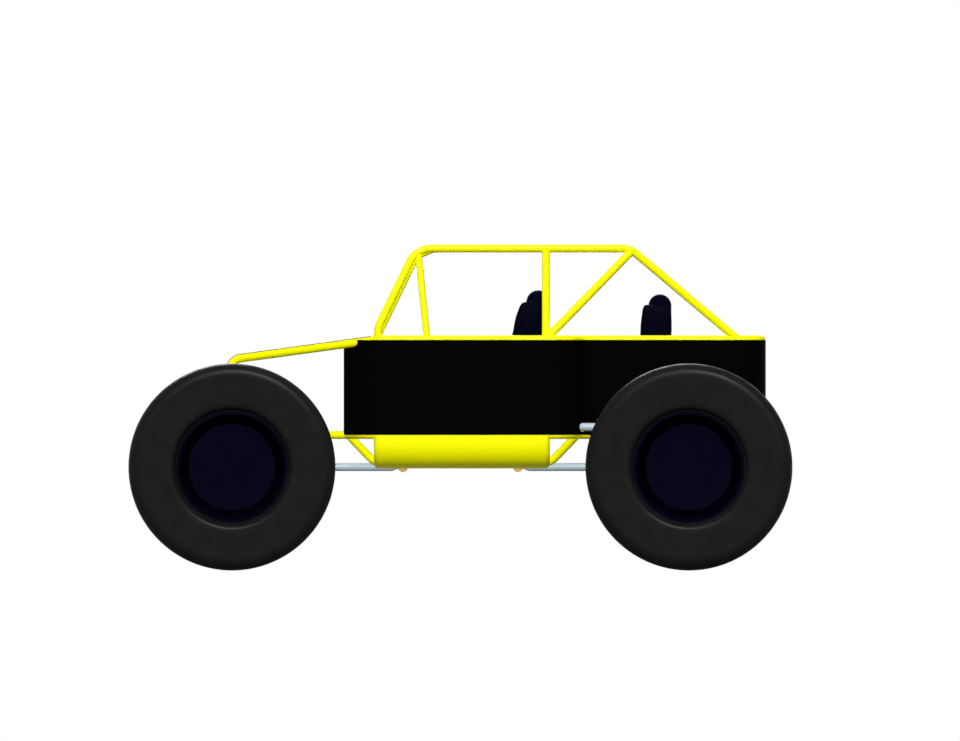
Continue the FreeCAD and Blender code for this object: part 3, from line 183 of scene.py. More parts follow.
# ---- finishes ----
finishes = {  # base colour, second colour, roughness, metal, specular, coat, grain scale, bump depth
    "cageYellow": ((1, 0.99, 0), (0.97, 0.94, 0), 0.4, 0, 0.05, 0.02, 260, 0.000025),
    "rockerYellow": ((1, 0.99, 0), (0.98, 0.95, 0), 0.4, 0, 0.05, 0.02, 220, 0.000025),
    "panelBlack": ((0.0009, 0.0009, 0.0009), (0.0014, 0.0014, 0.0014), 0.5, 0, 0.004, 0, 420, 0.00002),
    "rimNavy": ((0.0012, 0.001, 0.0072), (0.0018, 0.0015, 0.0088), 0.4, 0, 0.01, 0, 300, 0.00002),
    "linkSilver": ((0.47, 0.58, 0.65), (0.42, 0.53, 0.6), 0.42, 0, 0.2, 0, 180, 0.00004),
    "bracketGold": ((0.66, 0.42, 0.03), (0.5, 0.3, 0.02), 0.4, 0.2, 0.25, 0, 120, 0.00008),
    "axleGrey": ((0.03, 0.032, 0.036), (0.02, 0.021, 0.025), 0.5, 0.2, 0.2, 0, 90, 0.0003),
    "castIron": ((0.075, 0.075, 0.08), (0.045, 0.045, 0.047), 0.6, 0.4, 0.3, 0, 140, 0.0004),
    "trayAlloy": ((0.3, 0.31, 0.32), (0.22, 0.23, 0.24), 0.42, 0.75, 0.4, 0, 70, 0.00005),
    "boltZinc": ((0.62, 0.52, 0.46), (0.5, 0.42, 0.36), 0.35, 0.75, 0.5, 0, 300, 0.00005),
    "rotorSteel": ((0.42, 0.42, 0.43), (0.34, 0.34, 0.35), 0.32, 0.9, 0.5, 0, 240, 0.00005),
    "dialWhite": ((0.75, 0.76, 0.74), (0.7, 0.71, 0.69), 0.45, 0, 0.2, 0, 200, 0.00001),
    "needleRed": ((0.75, 0.06, 0.02), (0.7, 0.05, 0.02), 0.4, 0, 0.2, 0, 200, 0.00001),
    "polishedRod": ((0.7, 0.72, 0.74), (0.62, 0.64, 0.66), 0.16, 1, 0.5, 0, 60, 0.00001),
    "gripBlack": ((0.006, 0.006, 0.006), (0.01, 0.01, 0.01), 0.62, 0, 0.12, 0, 700, 0.00025),
    "seatThread": ((0.016, 0.016, 0.042), (0.024, 0.024, 0.058), 0.55, 0, 0.1, 0, 900, 0.0001),
    "dashBlack": ((0.004, 0.004, 0.004), (0.007, 0.007, 0.007), 0.6, 0, 0.08, 0, 900, 0.0002),
}
paintForm = {
    "drift": (0.42, 0.72),      # of the broad noise, where the base ends and where the second colour is full
    "glossDrift": 0.12,
    "coatRoughness": 0.25,
    "brushed": {"linkSilver": (0.08, 1, 1)},
}


def objectPlace(tree, stretch=(1, 1, 1), shift=(0, 0, 0)):
    # object coordinates, stretched and moved by a Mapping node
    place = newNode(tree, "TexCoord", {}).outputs["Object"]
    return newNode(tree, "Mapping", {"Scale": stretch, "Location": shift, "Vector": place}).outputs["Vector"]


def axlePlace(tree, x):
    # place across a wheel's own axle, so that its length is the distance from the axle
    return objectPlace(tree, (1, 0, 1), (-x, 0, -wheelForm["height"]))


def noise(place, scale, detail):
    inputs = {"Scale": scale, "Detail": detail, "Vector": place}
    return newNode(place.id_data, "TexNoise", inputs).outputs["Fac"]


def twoColours(factor, limits, colours):
    # first colour below the lower limit, second above the upper one
    ramp = newNode(factor.id_data, "ValToRGB", {"Fac": factor})
    for element, limit, colour in zip(ramp.color_ramp.elements, limits, colours):
        element.position = limit
        element.color = (*colour, 1)
    return ramp.outputs["Color"]


def mixed(kind, factor, first, second):
    inputs = {"Factor": factor, "A": first, "B": second}
    return newNode(factor.id_data, "Mix", inputs, data_type=kind).outputs["Result"]


def unevenGloss(broad, roughness):
    drift = paintForm["glossDrift"]
    return mathNode("MULTIPLY_ADD", broad, drift, roughness - drift / 2)


def wave(operation, line, rate):
    return mathNode(operation, mathNode("MULTIPLY", line, rate))


def bumped(height, depth):
    return newNode(height.id_data, "Bump", {"Distance": depth, "Height": height}).outputs["Normal"]


def paint(tree, name):
    # a base colour that drifts to a second one, uneven gloss, and a fine grain in the surface
    *colours, roughness, metal, specular, coat, grain, depth = finishes[name]
    place = objectPlace(tree, paintForm["brushed"].get(name, (1, 1, 1)))
    broad = noise(place, 5.0, 4.0)
    return {"Base Color": twoColours(broad, paintForm["drift"], colours),
            "Roughness": unevenGloss(broad, roughness), "Metallic": metal, "Specular IOR Level": specular,
            "Coat Weight": coat, "Coat Roughness": paintForm["coatRoughness"],
            "Normal": bumped(noise(place, grain, 2.0), depth)}


plateForm = {"pitch": 0.036, "steepness": 1.6, "soften": 0.2, "height": 0.0016, "drift": (0.4, 0.7),
             "polish": -0.12}       # of the roughness, on the bars


def treadPlate(tree):
    # alloy tray with raised bars in two directions, from cosines of the two diagonals
    *colours, roughness, metal = finishes["trayAlloy"][:4]
    place = objectPlace(tree)
    x, y, _ = newNode(tree, "SeparateXYZ", {0: place}).outputs
    rate = 2 * math.pi / plateForm["pitch"]
    plus, minus = mathNode("ADD", x, y), mathNode("SUBTRACT", x, y)
    bars = []
    for long, short in ((plus, minus), (minus, plus)):
        waves = [mathNode("MAXIMUM", wave("COSINE", line, speed), 0.0)
                 for line, speed in ((long, rate / 2), (short, rate))]
        bars.append(mathNode("MULTIPLY", *waves))
    ridge = mathNode("MULTIPLY", mathNode("MAXIMUM", *bars), plateForm["steepness"])
    raised = mathNode("SMOOTH_MIN", ridge, 1.0, plateForm["soften"])
    return {"Base Color": twoColours(noise(place, 7.0, 4.0), plateForm["drift"], colours),
            "Roughness": mathNode("MULTIPLY_ADD", raised, plateForm["polish"], roughness), "Metallic": metal,
            "Normal": bumped(raised, plateForm["height"])}


rubberForm = {"colours": ((0.0078, 0.0078, 0.0078), (0.0102, 0.01, 0.0098)), "drift": (0.35, 0.75),
              "rings": 26.0, "grain": 520.0, "specular": 0.03, "depth": 0.0002,
              "roughness": (0.1, 0.33)}     # drift and least


def rubber(tree, x):
    # black rubber with fine mould rings about the wheel's own axis
    rings = newNode(tree, "TexWave", {"Scale": rubberForm["rings"], "Vector": axlePlace(tree, x)},
                    wave_type="RINGS", rings_direction="Y")
    skin = objectPlace(tree)
    broad = noise(skin, 9.0, 5.0)
    grain = mathNode("MULTIPLY", noise(skin, rubberForm["grain"], 2.0), 0.5)
    height = mathNode("MULTIPLY_ADD", rings.outputs["Fac"], 0.5, grain)
    return {"Base Color": twoColours(broad, rubberForm["drift"], rubberForm["colours"]),
            "Roughness": mathNode("MULTIPLY_ADD", broad, *rubberForm["roughness"]),
            "Specular IOR Level": rubberForm["specular"], "Normal": bumped(height, rubberForm["depth"])}


rimShadeRings = [  # distance from the axle where a ring starts, where it is full, its two colours; the first ring is painted shade that blackens the dish wall, the second makes the lip darker
    (0.237, 0.24, (0.0002, 0.0002, 0.0016), (0.0003, 0.0003, 0.0022)),
    (0.276, 0.28, (0.0004, 0.0004, 0.0046), (0.0006, 0.0006, 0.0056)),
]


def rim(tree, x):
    # navy disc, with painted shade that blackens the dish wall and a darker lip, by distance from the axle
    *colours, roughness, _, specular, _, grain, depth = finishes["rimNavy"]
    reach = lengthOf(axlePlace(tree, x))
    skin = objectPlace(tree)
    broad = noise(skin, 6.0, 4.0)
    colour = twoColours(broad, paintForm["drift"], colours)
    # painted shade on the dish wall, then the darker lip, mixed in by distance from the axle
    for low, high, *pair in rimShadeRings:
        step = newNode(tree, "MapRange", {"From Min": low, "From Max": high, "Value": reach})
        colour = mixed("RGBA", step.outputs["Result"], colour, twoColours(broad, paintForm["drift"], pair))
    return {"Base Color": colour, "Roughness": unevenGloss(broad, roughness),
            "Specular IOR Level": specular, "Normal": bumped(noise(skin, grain, 2.0), depth)}


clothForm = {"weave": 0.0034, "grain": 420.0, "specular": 0.006, "depth": 0.0005,
             "roughness": (0.22, 0.58),     # what the weave adds, and the vinyl's own
             "vinyl": ((0.0008, 0.0009, 0.0062), (0.0012, 0.0012, 0.0078)),
             "yarn": ((0.0008, 0.0008, 0.0058), (0.0022, 0.002, 0.0105))}


def seatCloth(tree):
    # woven cloth where the insert share is 1, grained vinyl elsewhere; the weave is two crossed sines
    share = newNode(tree, "Attribute", {}, attribute_name="insert").outputs["Fac"]
    place = objectPlace(tree)
    x, y, z = newNode(tree, "SeparateXYZ", {0: place}).outputs
    rate = 2 * math.pi / clothForm["weave"]
    crossed = mathNode("MULTIPLY", wave("SINE", mathNode("SUBTRACT", z, x), rate), wave("SINE", y, rate))
    weave = mathNode("MULTIPLY_ADD", crossed, 0.5, 0.5)
    vinyl = twoColours(noise(place, 9.0, 4.0), (0.35, 0.75), clothForm["vinyl"])
    yarn = twoColours(weave, (0.2, 0.8), clothForm["yarn"])
    height = mixed("FLOAT", share, noise(place, clothForm["grain"], 3.0), weave)
    return {"Base Color": mixed("RGBA", share, vinyl, yarn), "Specular IOR Level": clothForm["specular"],
            "Roughness": mathNode("MULTIPLY_ADD", share, *clothForm["roughness"]),
            "Normal": bumped(height, clothForm["depth"])}


for name in finishes:
    newMaterial(name, paint, name)
newMaterial("treadPlate", treadPlate)
newMaterial("seatCloth", seatCloth)
for end, x in wheelForm["axles"].items():
    newMaterial("rubber" + end.title(), rubber, x)
    newMaterial("rim" + end.title(), rim, x)

nodeFinish = {  # the nodes whose names start with each word
    "cageYellow": "side_hoop belt_rail lower_rail main_hoop harness_frame roof_bars windscreen_frame "
                  "vent_braces rear_braces nose_frame body_posts belly_frame floor_bars coil_mounts tow_eyes",
    "rockerYellow": "rocker",
    "panelBlack": "side_panel tail_panel hood_panel firewall bulkhead deck_panel",
    "treadPlate": "floor_panel",
    "trayAlloy": "skid_plate radiator",
    "bracketGold": "link_brackets",
    "linkSilver": "lower_links upper_links tie_rod",
    "axleGrey": "front_axle rear_axle knuckle drop_case short_shaft",
    "castIron": "engine_block",
    "polishedRod": "coil_overs steering_column",
    "dashBlack": "dash_panel",
    "gripBlack": "steering_wheel seat",
    "rimFront": "rim_front",
    "rimRear": "rim_rear",
    "rubberFront": "tyre_front",
    "rubberRear": "tyre_rear",
}
painted = 0
for finish, words in nodeFinish.items():
    for name in nodes:
        if name.startswith(tuple(words.split())):
            painted += 1
            for slot in nodes[name].material_slots:
                slot.link = "OBJECT"
                slot.material = made[finish]
print("finishes on", painted, "nodes")


# ---- shapes ----
def unit(vectors):
    # the same directions at length 1
    return vectors / np.linalg.norm(vectors, axis=-1, keepdims=True)


def squareTo(direction):
    # a direction and two unit vectors square to it
    along = unit(direction)
    helper = (0, 0, 1) if abs(along[2]) < 0.9 else (1, 0, 0)
    first = unit(np.cross(helper, along))
    return along, first, np.cross(along, first)


def fullTurn(count):
    return np.linspace(0, 2 * math.pi, count, endpoint=False)


def swung(angle, first, second):
    # cos t * first + sin t * second
    return np.cos(angle) * first + np.sin(angle) * second


def signedPower(value, power):
    return np.sign(value) * np.abs(value) ** power


def rise(value, low, high):
    # smooth step from 0 below low to 1 above high
    share = np.clip((value - low) / (high - low), 0, 1)
    return share * share * (3 - 2 * share)


def turned(profile, start, direction, around=40):
    # turned solid: start + along * d + radius * (cos t * e1 + sin t * e2), for each d and radius
    profile = np.asarray(profile, float)
    along, first, second = squareTo(direction)
    ring = swung(fullTurn(around)[:, None], first, second)
    return np.asarray(start) + profile[:, 0, None, None] * along + profile[:, 1, None, None] * ring


def tubeAlong(path, normals, radius, around=10, loop=False):
    # round bar: path + radius * (cos t * n + sin t * (tangent x n)); a pole at each end, or a closed loop
    tangent = unit(np.roll(path, -1, 0) - np.roll(path, 1, 0) if loop else np.gradient(path, axis=0))
    other = unit(np.cross(tangent, normals))
    normal = np.cross(other, tangent)
    size = np.ones(len(path)) * radius
    ring = swung(fullTurn(around)[:, None], normal[:, None, :], other[:, None, :])
    skin = path[:, None, :] + size[:, None, None] * ring
    if loop:
        return skin
    poles = np.repeat(path[:, None, :], around, axis=1)
    return np.concatenate([poles[:1], skin, poles[-1:]])


def bar(start, end, across, width, thick):
    # flat bar: four corners round the line, with a pole at each end
    start, end = np.asarray(start, float), np.asarray(end, float)
    wide = unit(across) * width / 2
    deep = unit(np.cross(end - start, wide)) * thick / 2
    ring = np.stack([wide + deep, -wide + deep, -wide - deep, wide - deep])
    return np.stack([start + 0 * ring, start + ring, end + ring, end + 0 * ring])


def hexHead(face, direction, radius, height):
    # hexagon with a chamfered outer edge
    chamfer = height * 0.25
    profile = [(0, 0), (0, radius), (height - chamfer, radius), (height, radius - chamfer), (height, 0)]
    return turned(profile, face, direction, 6)


def circle(middle, direction, radius, count):
    # points round an axis, and their outward directions
    _, first, second = squareTo(direction)
    out = swung(fullTurn(count)[:, None], first, second)
    return np.asarray(middle) + radius * out, out


def gridMesh(name, grids, closeRows=False):
    # one mesh from several grids of points; columns close round, and rows too where asked
    points, faces, start = [], [], 0
    for grid in grids:
        rows, columns = grid.shape[:2]
        row, column = np.indices((rows if closeRows else rows - 1, columns))
        below, right = (row + 1) % rows, (column + 1) % columns
        cell = np.stack([row * columns + column, below * columns + column, below * columns + right,
                         row * columns + right], -1)
        points.append(grid.reshape(-1, 3))
        faces.append(cell.reshape(-1, 4) + start)
        start += rows * columns
    mesh = bpy.data.meshes.new(name)
    mesh.from_pydata(np.concatenate(points).tolist(), [], np.concatenate(faces).tolist())
    return mesh


def cleaned(mesh, seam=2e-6):
    # merged seams and poles, no faces without area, and faces outwards
    work = bmesh.new()
    work.from_mesh(mesh)
    bmesh.ops.remove_doubles(work, verts=work.verts, dist=seam)
    bmesh.ops.dissolve_degenerate(work, edges=work.edges, dist=1e-6)
    bmesh.ops.recalc_face_normals(work, faces=work.faces)
    work.to_mesh(mesh)
    work.free()
    return mesh


def finished(name, mesh, finish, slotName, replaced=(), body="root", crease=35):
    # a visible piece on its body: smooth but for its edges, in its finish
    cleaned(mesh)
    mesh.shade_smooth()
    mesh.set_sharp_from_angle(angle=math.radians(crease))
    mesh.materials.append(made[finish])
    thing = placed(name, mesh)
    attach(thing, body)
    if replaced:
        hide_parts(*replaced)
    return thing


def piece(name, grids, *details, closeRows=False, **more):
    finished(name, gridMesh(name, grids, closeRows), *details, **more)


# ---- tyres ----
tyreForm = {
    "radius": 0.5715,
    "halfWidth": 0.2,
    "shoulder": 0.062,
    "ribHalf": 0.03,           # unbroken rib round the middle
    "stations": (0, 0.4, 0.86, 1.0, 1.14, 1.7, 2.3, 2.86, 3.0, 3.14, 3.7),  # of the crown, in rib halves
    "wall": [  # from the shoulder to the bead: distance from the middle, distance from the axle
        (0.1994, 0.49), (0.1994, 0.46), (0.1993, 0.43), (0.1992, 0.4), (0.199, 0.375),
        (0.1986, 0.356), (0.1978, 0.344), (0.1957, 0.336), (0.1915, 0.3295), (0.185, 0.324),
        (0.176, 0.319), (0.164, 0.3145), (0.1506, 0.311), (0.1506, 0.3), (0.1506, 0.29),
    ],
    "pitches": 34,
    "columns": [  # share of a pitch, and whether the lateral groove is there
        (-0.13, 0), (-0.095, 1), (0.0, 1), (0.095, 1), (0.13, 0), (0.32, 0), (0.5, 0), (0.68, 0),
    ],
    "grooveDepth": 0.0115,
    "ringDepth": 0.0085,        # of the two grooves on each side that run right round
    "grooveEnd": (0.118, 0.142),
    "slant": 0.55,              # of a pitch, over the tread's half width
    "slantReach": 0.2,
    "zigzag": 0.007,
    "zigzagEnds": (0.004, 0.02, 0.125, 0.17),
}


def tyreProfile():
    # half section from the middle of the tread to the bead: straight crown, shoulder arc, sidewall
    form = tyreForm
    radius, shoulder = form["radius"], form["shoulder"]
    crown = form["halfWidth"] - shoulder
    ribs = np.array(form["stations"]) * form["ribHalf"]
    ribs = np.append(ribs[ribs < crown - 0.004], crown)
    flat = np.stack([ribs, np.full_like(ribs, radius)], 1)
    bend = np.linspace(0, math.pi / 2, 9)[1:]
    arc = np.stack([crown + shoulder * np.sin(bend), radius - shoulder * (1 - np.cos(bend))], 1)
    return np.concatenate([flat, arc, np.array(form["wall"])])


def tyreGrid(centre, side):
    # section turned about the axle, with grooves sunk along its normal; the columns lean with the grooves
    form = tyreForm
    rib = form["ribHalf"]
    half = tyreProfile()
    section = np.concatenate([half[::-1] * (-1, 1), half[1:]])
    across, radius = section[:, 0], section[:, 1]
    slope = np.gradient(section, axis=0)
    normal = unit(np.stack([slope[:, 1], -slope[:, 0]], 1))
    step = np.linalg.norm(np.diff(section, axis=0), axis=1)
    reach = np.concatenate([[0], np.cumsum(step)])
    reach = np.abs(reach - reach[len(half) - 1])
    share, lateral = np.array(form["columns"]).T
    column = (np.arange(form["pitches"])[:, None] + share).reshape(-1)
    inTread = rise(reach, rib, rib * 1.12) * (1 - rise(reach, *form["grooveEnd"]))
    depth = form["grooveDepth"] * inTread[:, None] * np.tile(lateral, form["pitches"])
    ringGroove = (np.abs(reach - rib) < 0.001) | (np.abs(reach - 3 * rib) < 0.001)
    depth = np.maximum(depth, form["ringDepth"] * ringGroove[:, None])
    stagger = 0.5 * rise(across, -rib * 0.5, rib * 0.5)
    lean = stagger + form["slant"] * np.clip(reach / form["slantReach"], 0, 1.1) * np.sign(across)
    angle = (column + lean[:, None]) * 2 * math.pi / form["pitches"]
    inner, innerFull, outerFull, outer = form["zigzagEnds"]
    window = rise(reach, inner, innerFull) * (1 - rise(reach, outerFull, outer)) * np.sign(across)
    shift = form["zigzag"] * window[:, None] * np.cos(2 * math.pi * column)
    wide = across[:, None] + shift + normal[:, 0, None] * depth
    high = radius[:, None] + normal[:, 1, None] * depth
    return centre + np.stack([high * np.sin(angle), side * wide, high * np.cos(angle)], -1)


for wheel, end, x, side in wheels:
    centre = (x, side * wheelForm["track"], wheelForm["height"])
    piece("tread_" + wheel, [tyreGrid(centre, side)], "rubber" + end.title(), "tyre", ["tyre_" + wheel],
          "wheel_" + wheel, closeRows=True)
print("tyres made")

# ---- coil-overs ----
coilForm = {
    "places": [  # end, lower eye, upper eye
        ("front", (1.2614, 0.56, 0.655), (1.269, 0.4, 1.085)),
        ("rear", (-1.2614, 0.68, 0.655), (-1.2614, 0.6, 1.06)),
    ],
    "coilRadius": 0.0445,
    "wire": 0.0065,
    "turns": 8,
    "stepsEachTurn": 28,
    "closed": 0.16,             # share of the spring at each end where the pitch closes up
    "uneven": 0.03,             # slow wave in the pitch
    "start": 0.082,
    "spare": 0.104,             # from the top eye to the end of the spring
    "plateGap": 0.007,          # from there to the plate above it
    "bodyStart": 0.46,          # share of the length where the body begins
    "thread": (0.0255, 0.0238, 0.004),  # crest and root radius, pitch
    "threadEnds": (0.03, 0.125),  # from the body's start, from the top eye
    "rodFoot": [(0.012, 0), (0.012, 0.014), (0.04, 0.014), (0.044, 0.009)],
    "rod": (0.01, 0.009),       # reach into the body, radius
    "eye": [(-0.028, 0.0085), (-0.028, 0.013), (-0.0165, 0.015), (-0.0155, 0.0205), (0.0155, 0.0205),
            (0.0165, 0.015), (0.028, 0.013), (0.028, 0.0085), (-0.028, 0.0085)],
    "lowPlate": [(0.058, 0.009), (0.058, 0.03), (0.062, 0.034), (0.069, 0.034), (0.069, 0.051),
                 (0.0755, 0.051), (0.0755, 0.037), (0.082, 0.034), (0.082, 0.009), (0.058, 0.009)],
    "highPlate": [(0, 0.025), (0, 0.051), (0.006, 0.051), (0.006, 0.04), (0.01, 0.038), (0.026, 0.038),
                  (0.028, 0.036), (0.028, 0.025), (0, 0.025)],  # from the spring's end
    "bumper": [(-0.034, 0.009), (-0.034, 0.015), (-0.026, 0.018), (-0.018, 0.014), (-0.01, 0.019),
               (-0.001, 0.02), (-0.001, 0.009), (-0.034, 0.009)],  # from the body's start
    "bodyFoot": [(0, 0), (0, 0.0225), (0.004, 0.025), (0.028, 0.025)],
    "bodyHead": [(-0.12, 0.0245), (-0.05, 0.0245), (-0.046, 0.022), (-0.04, 0.014), (-0.01, 0.014),
                 (-0.01, 0)],  # from the top eye
}


def springGrid(foot, head):
    # wire round the damper: the pitch closes up at both ends, where the wire lies flat
    form = coilForm
    along, first, second = squareTo(head - foot)
    length = np.linalg.norm(head - foot) - form["start"] - form["spare"]
    t = np.linspace(0, 1, form["turns"] * form["stepsEachTurn"])
    wave = form["uneven"] * np.sin(2 * math.pi * t) / math.pi
    climb = rise(t, 0, form["closed"]) * rise(1 - t, 0, form["closed"]) * wave + t
    radial = swung(2 * math.pi * form["turns"] * t[:, None], first, second)
    middle = foot + along * (form["start"] + length * climb)[:, None]
    return tubeAlong(middle + radial * form["coilRadius"], radial, form["wire"], 10)


def moved(profile, distance):
    # a profile shifted along its axis
    return [(place + distance, radius) for place, radius in profile]


def damperGrids(foot, head):
    # rod, spring plates with eyes, threaded body and bump stop, all turned about one line
    form = coilForm
    run = unit(head - foot)
    length = np.linalg.norm(head - foot)
    body = length * form["bodyStart"]
    crest, root, pitch = form["thread"]
    after, before = form["threadEnds"]
    threads = [(place + shift, radius) for place in np.arange(body + after, length - before, pitch)
               for shift, radius in ((0, crest), (pitch / 2, root))]
    tube = moved(form["bodyFoot"], body) + threads + moved(form["bodyHead"], length)
    reach, radius = form["rod"]
    rod = form["rodFoot"] + [(body + reach, radius), (body + reach, 0)]
    high = moved(form["highPlate"], length - form["spare"] + form["plateGap"])
    return {
        "damperBodies": [turned(tube, foot, run)],
        "damperRods": [turned(rod, foot, run)],
        "springPlates": [turned(form["lowPlate"], foot, run), turned(high, foot, run, 48),
                         turned(form["eye"], foot, (0, 1, 0)), turned(form["eye"], head, (0, 1, 0))],
        "bumpStops": [turned(moved(form["bumper"], body), foot, run)],
    }


damperFinish = {"springs": "cageYellow", "damperBodies": "rimNavy", "damperRods": "polishedRod",
                "springPlates": "linkSilver", "bumpStops": "gripBlack"}
for end, foot, head in coilForm["places"]:
    parts = {name: [] for name in damperFinish}
    for mirror in mirrors:
        parts["springs"].append(springGrid(foot * mirror, head * mirror))
        for name, grids in damperGrids(foot * mirror, head * mirror).items():
            parts[name] += grids
    for name, grids in parts.items():
        piece(name + "_" + end, grids, damperFinish[name], "damper", ["coil_overs_" + end])
print("coil-overs made")

# ---- seats ----
seatForm = {
    "kinds": {  # inner: where the bolsters start; slope: where the shoulder starts to fall, and its fall
        "front": {"foot": (-0.2886, 0.33, 0.6143), "lean": 13.4, "half": 0.22, "inner": 0.15,
                  "reach": 0.56, "height": 0.185, "shoulder": 0.876, "top": 0.943, "slope": (0.122, 0.038)},
        "rear": {"foot": (-1.131, 0.232, 0.7738), "lean": 3.0, "half": 0.2, "inner": 0.13,
                 "reach": 0.5, "height": 0.105, "shoulder": 0.688, "top": 0.75, "slope": (0.149, 0.014)},
    },
    "backThick": 0.114,
    "bolsterThick": 0.167,
    "headThick": 0.132,
    "tuck": 0.1,              # from the back's rear face to the cushion's rear end
    "cushion": (0.8, 0.93, 0.15, 0.16, 0.12),  # heights of core and roll, roll's length, fall, its length
    "inset": 0.004,
    "coreInset": 0.02,
    "overlap": 0.004,           # of a bolster and the core between them
    "rounding": {  # powers of the two angles of each block
        "core": (0.25, 0.2), "backBolster": (0.5, 0.13), "head": (0.3, 1.0), "neck": (0.3, 0.1),
        "cushionBolster": (0.5, 0.22), "roll": (0.3, 0.45),
    },
    "voxel": 0.0085,
    "pressure": 4.0,
    "cap": 0.008,
    "calm": (0.2, 0.06),       # below the top of a back, where the swelling dies away
    "frames": 20,
    "seamDepth": 0.0075,
    "channelDepth": 0.006,
    "boxingDepth": 0.004,
    "puff": 0.0035,
    "seamWidth": 0.007,
    "channelStep": 0.068,
    # rear seam's inset, boxing's place, first channel, last one and the fade's ends below the shoulder
    "backSeams": (0.045, 0.04, 0.1, 0.16, 0.06, 0.02),
    "cushionSeams": (0.125, 0.13, 0.42, 0.001),  # first channel, roll's length, boxing's share, lowest point
    "thread": ((0.0005, 0.0009, 0.0005), (0.0004, 0.001, 0.0004)),  # radii, heights over the skin
    "stitch": (0.0026, 0.0085, 0.009),  # half length, pitch, distance from the bolster seam
}


def block(low, high, rounding):
    # superellipsoid between two corners, poles along Y: cos^p and sin^p of both angles
    low, high = np.asarray(low, float), np.asarray(high, float)
    endPower, sidePower = seatForm["rounding"][rounding]
    up = np.linspace(-math.pi / 2, math.pi / 2, 25)[:, None]
    around = fullTurn(64)
    girth = signedPower(np.cos(up), endPower)
    unitPlace = np.stack([girth * signedPower(np.cos(around), sidePower),
                          signedPower(np.sin(up), endPower) * np.ones_like(around),
                          girth * signedPower(np.sin(around), sidePower)], -1)
    return (low + high) / 2 + unitPlace * (high - low) / 2


def bolsterSides(kind):
    # near and far edge of the bolster on each side
    inner, outer = kind["inner"] - seatForm["overlap"], kind["half"] - seatForm["inset"]
    return [(-outer, -inner), (inner, outer)]


def backBlocks(kind):
    # core, two bolsters whose shoulders fall towards the front, and a headrest with a round top
    form, gap, core = seatForm, seatForm["inset"], seatForm["coreInset"]
    half, inner, shoulder, top = kind["half"], kind["inner"], kind["shoulder"], kind["top"]
    start, fall = kind["slope"]
    grids = [block((gap, -half + core, gap), (form["backThick"] - gap, half - core, shoulder - core), "core")]
    for near, far in bolsterSides(kind):
        grid = block((gap, near, 0.06), (form["bolsterThick"] - gap, far, shoulder), "backBolster")
        high = rise(grid[..., 2], shoulder - 0.15, shoulder - 0.03)
        lean = np.clip((grid[..., 0] - start) / (form["bolsterThick"] - start), 0, 1)
        grid[..., 2] -= fall * lean * high
        grids.append(grid)
    radius = form["headThick"] / 2
    front = form["headThick"] - gap / 2
    return grids + [
        block((gap / 2, -inner, top - 2 * radius), (front, inner, top - 0.001), "head"),
        block((gap / 2, -inner, shoulder - 0.25), (front, inner, top - radius + 0.004), "neck")]


def cushionBlocks(kind):
    # core, two side bolsters and a thigh roll, all falling away at the front edge
    form, gap, core = seatForm, seatForm["inset"], seatForm["coreInset"]
    half, inner, end, height = kind["half"], kind["inner"] + 0.01, kind["reach"], kind["height"]
    coreShare, rollShare, rollLong, fallShare, fallLong = form["cushion"]
    grids = [block((form["tuck"], -half + core, gap), (end - core, half - core, height * coreShare - gap),
                   "core")]
    grids += [block((form["tuck"], near, gap), (end - gap, far, height - gap), "cushionBolster")
              for near, far in bolsterSides(kind)]
    grids.append(block((end - rollLong, -inner, gap), (end - gap, inner, height * rollShare - gap), "roll"))
    for grid in grids:
        falling = rise(grid[..., 0], end - fallLong, end) * rise(grid[..., 2], 0, height)
        grid[..., 2] -= fallShare * height * falling
    return grids


def settled(thing):
    # the mesh as its modifiers leave it
    graph = bpy.context.evaluated_depsgraph_get()
    thing.data = bpy.data.meshes.new_from_object(thing.evaluated_get(graph))
    thing.modifiers.clear()


def remeshed(name, grids):
    # one closed skin round all the blocks
    thing = placed(name, cleaned(gridMesh(name, grids), 1e-5))
    skin = thing.modifiers.new("skin", "REMESH")
    skin.mode = "VOXEL"
    skin.voxel_size = seatForm["voxel"]
    settled(thing)
    return thing


def pointsAndNormals(mesh):
    both = np.empty((2, len(mesh.vertices) * 3))
    mesh.vertices.foreach_get("co", both[0])
    mesh.vertex_normals.foreach_get("vector", both[1])
    return both.reshape(2, -1, 3)


def inflated(things):
    # air pressure swells every pad a little, no point further than the cap
    for thing in things:
        cloth = thing.modifiers.new("air", "CLOTH")
        cloth.settings.use_pressure = True
        cloth.settings.uniform_pressure_force = seatForm["pressure"]
        cloth.settings.effector_weights.gravity = 0
    for step in range(1, seatForm["frames"] + 1):
        scene.frame_set(step)
    graph = bpy.context.evaluated_depsgraph_get()
    for thing in things:
        before, out = pointsAndNormals(thing.data)
        swell = ((pointsAndNormals(thing.evaluated_get(graph).data)[0] - before) * out).sum(1)
        swell = seatForm["cap"] * np.tanh(np.maximum(swell, 0) / seatForm["cap"])
        if thing.name.startswith("back"):
            top = before[:, 2].max()
            swell *= 1 - rise(before[:, 2], top - seatForm["calm"][0], top - seatForm["calm"][1])
        thing.data.vertices.foreach_set("co", (before + out * swell[:, None]).reshape(-1))
        thing.modifiers.clear()
        finer = thing.modifiers.new("finer", "SUBSURF")
        finer.levels = finer.render_levels = 1
        settled(thing)
    scene.frame_set(1)


def groove(distance):
    # pressed line: exp(-(distance / width)^2)
    return np.exp(-(distance / seatForm["seamWidth"]) ** 2)


def channels(place, start, end):
    # evenly spaced pressed lines between start and end, and the puff between them
    count = max(1, round((end - start) / seatForm["channelStep"]))
    phase = (place - start) / (end - start) * count
    inside = rise(place, start - 0.004, start) * (1 - rise(place, end, end + 0.004))
    away = np.abs(phase - np.round(phase)) * (end - start) / count
    return inside * groove(away), inside * np.sin(math.pi * phase) ** 2


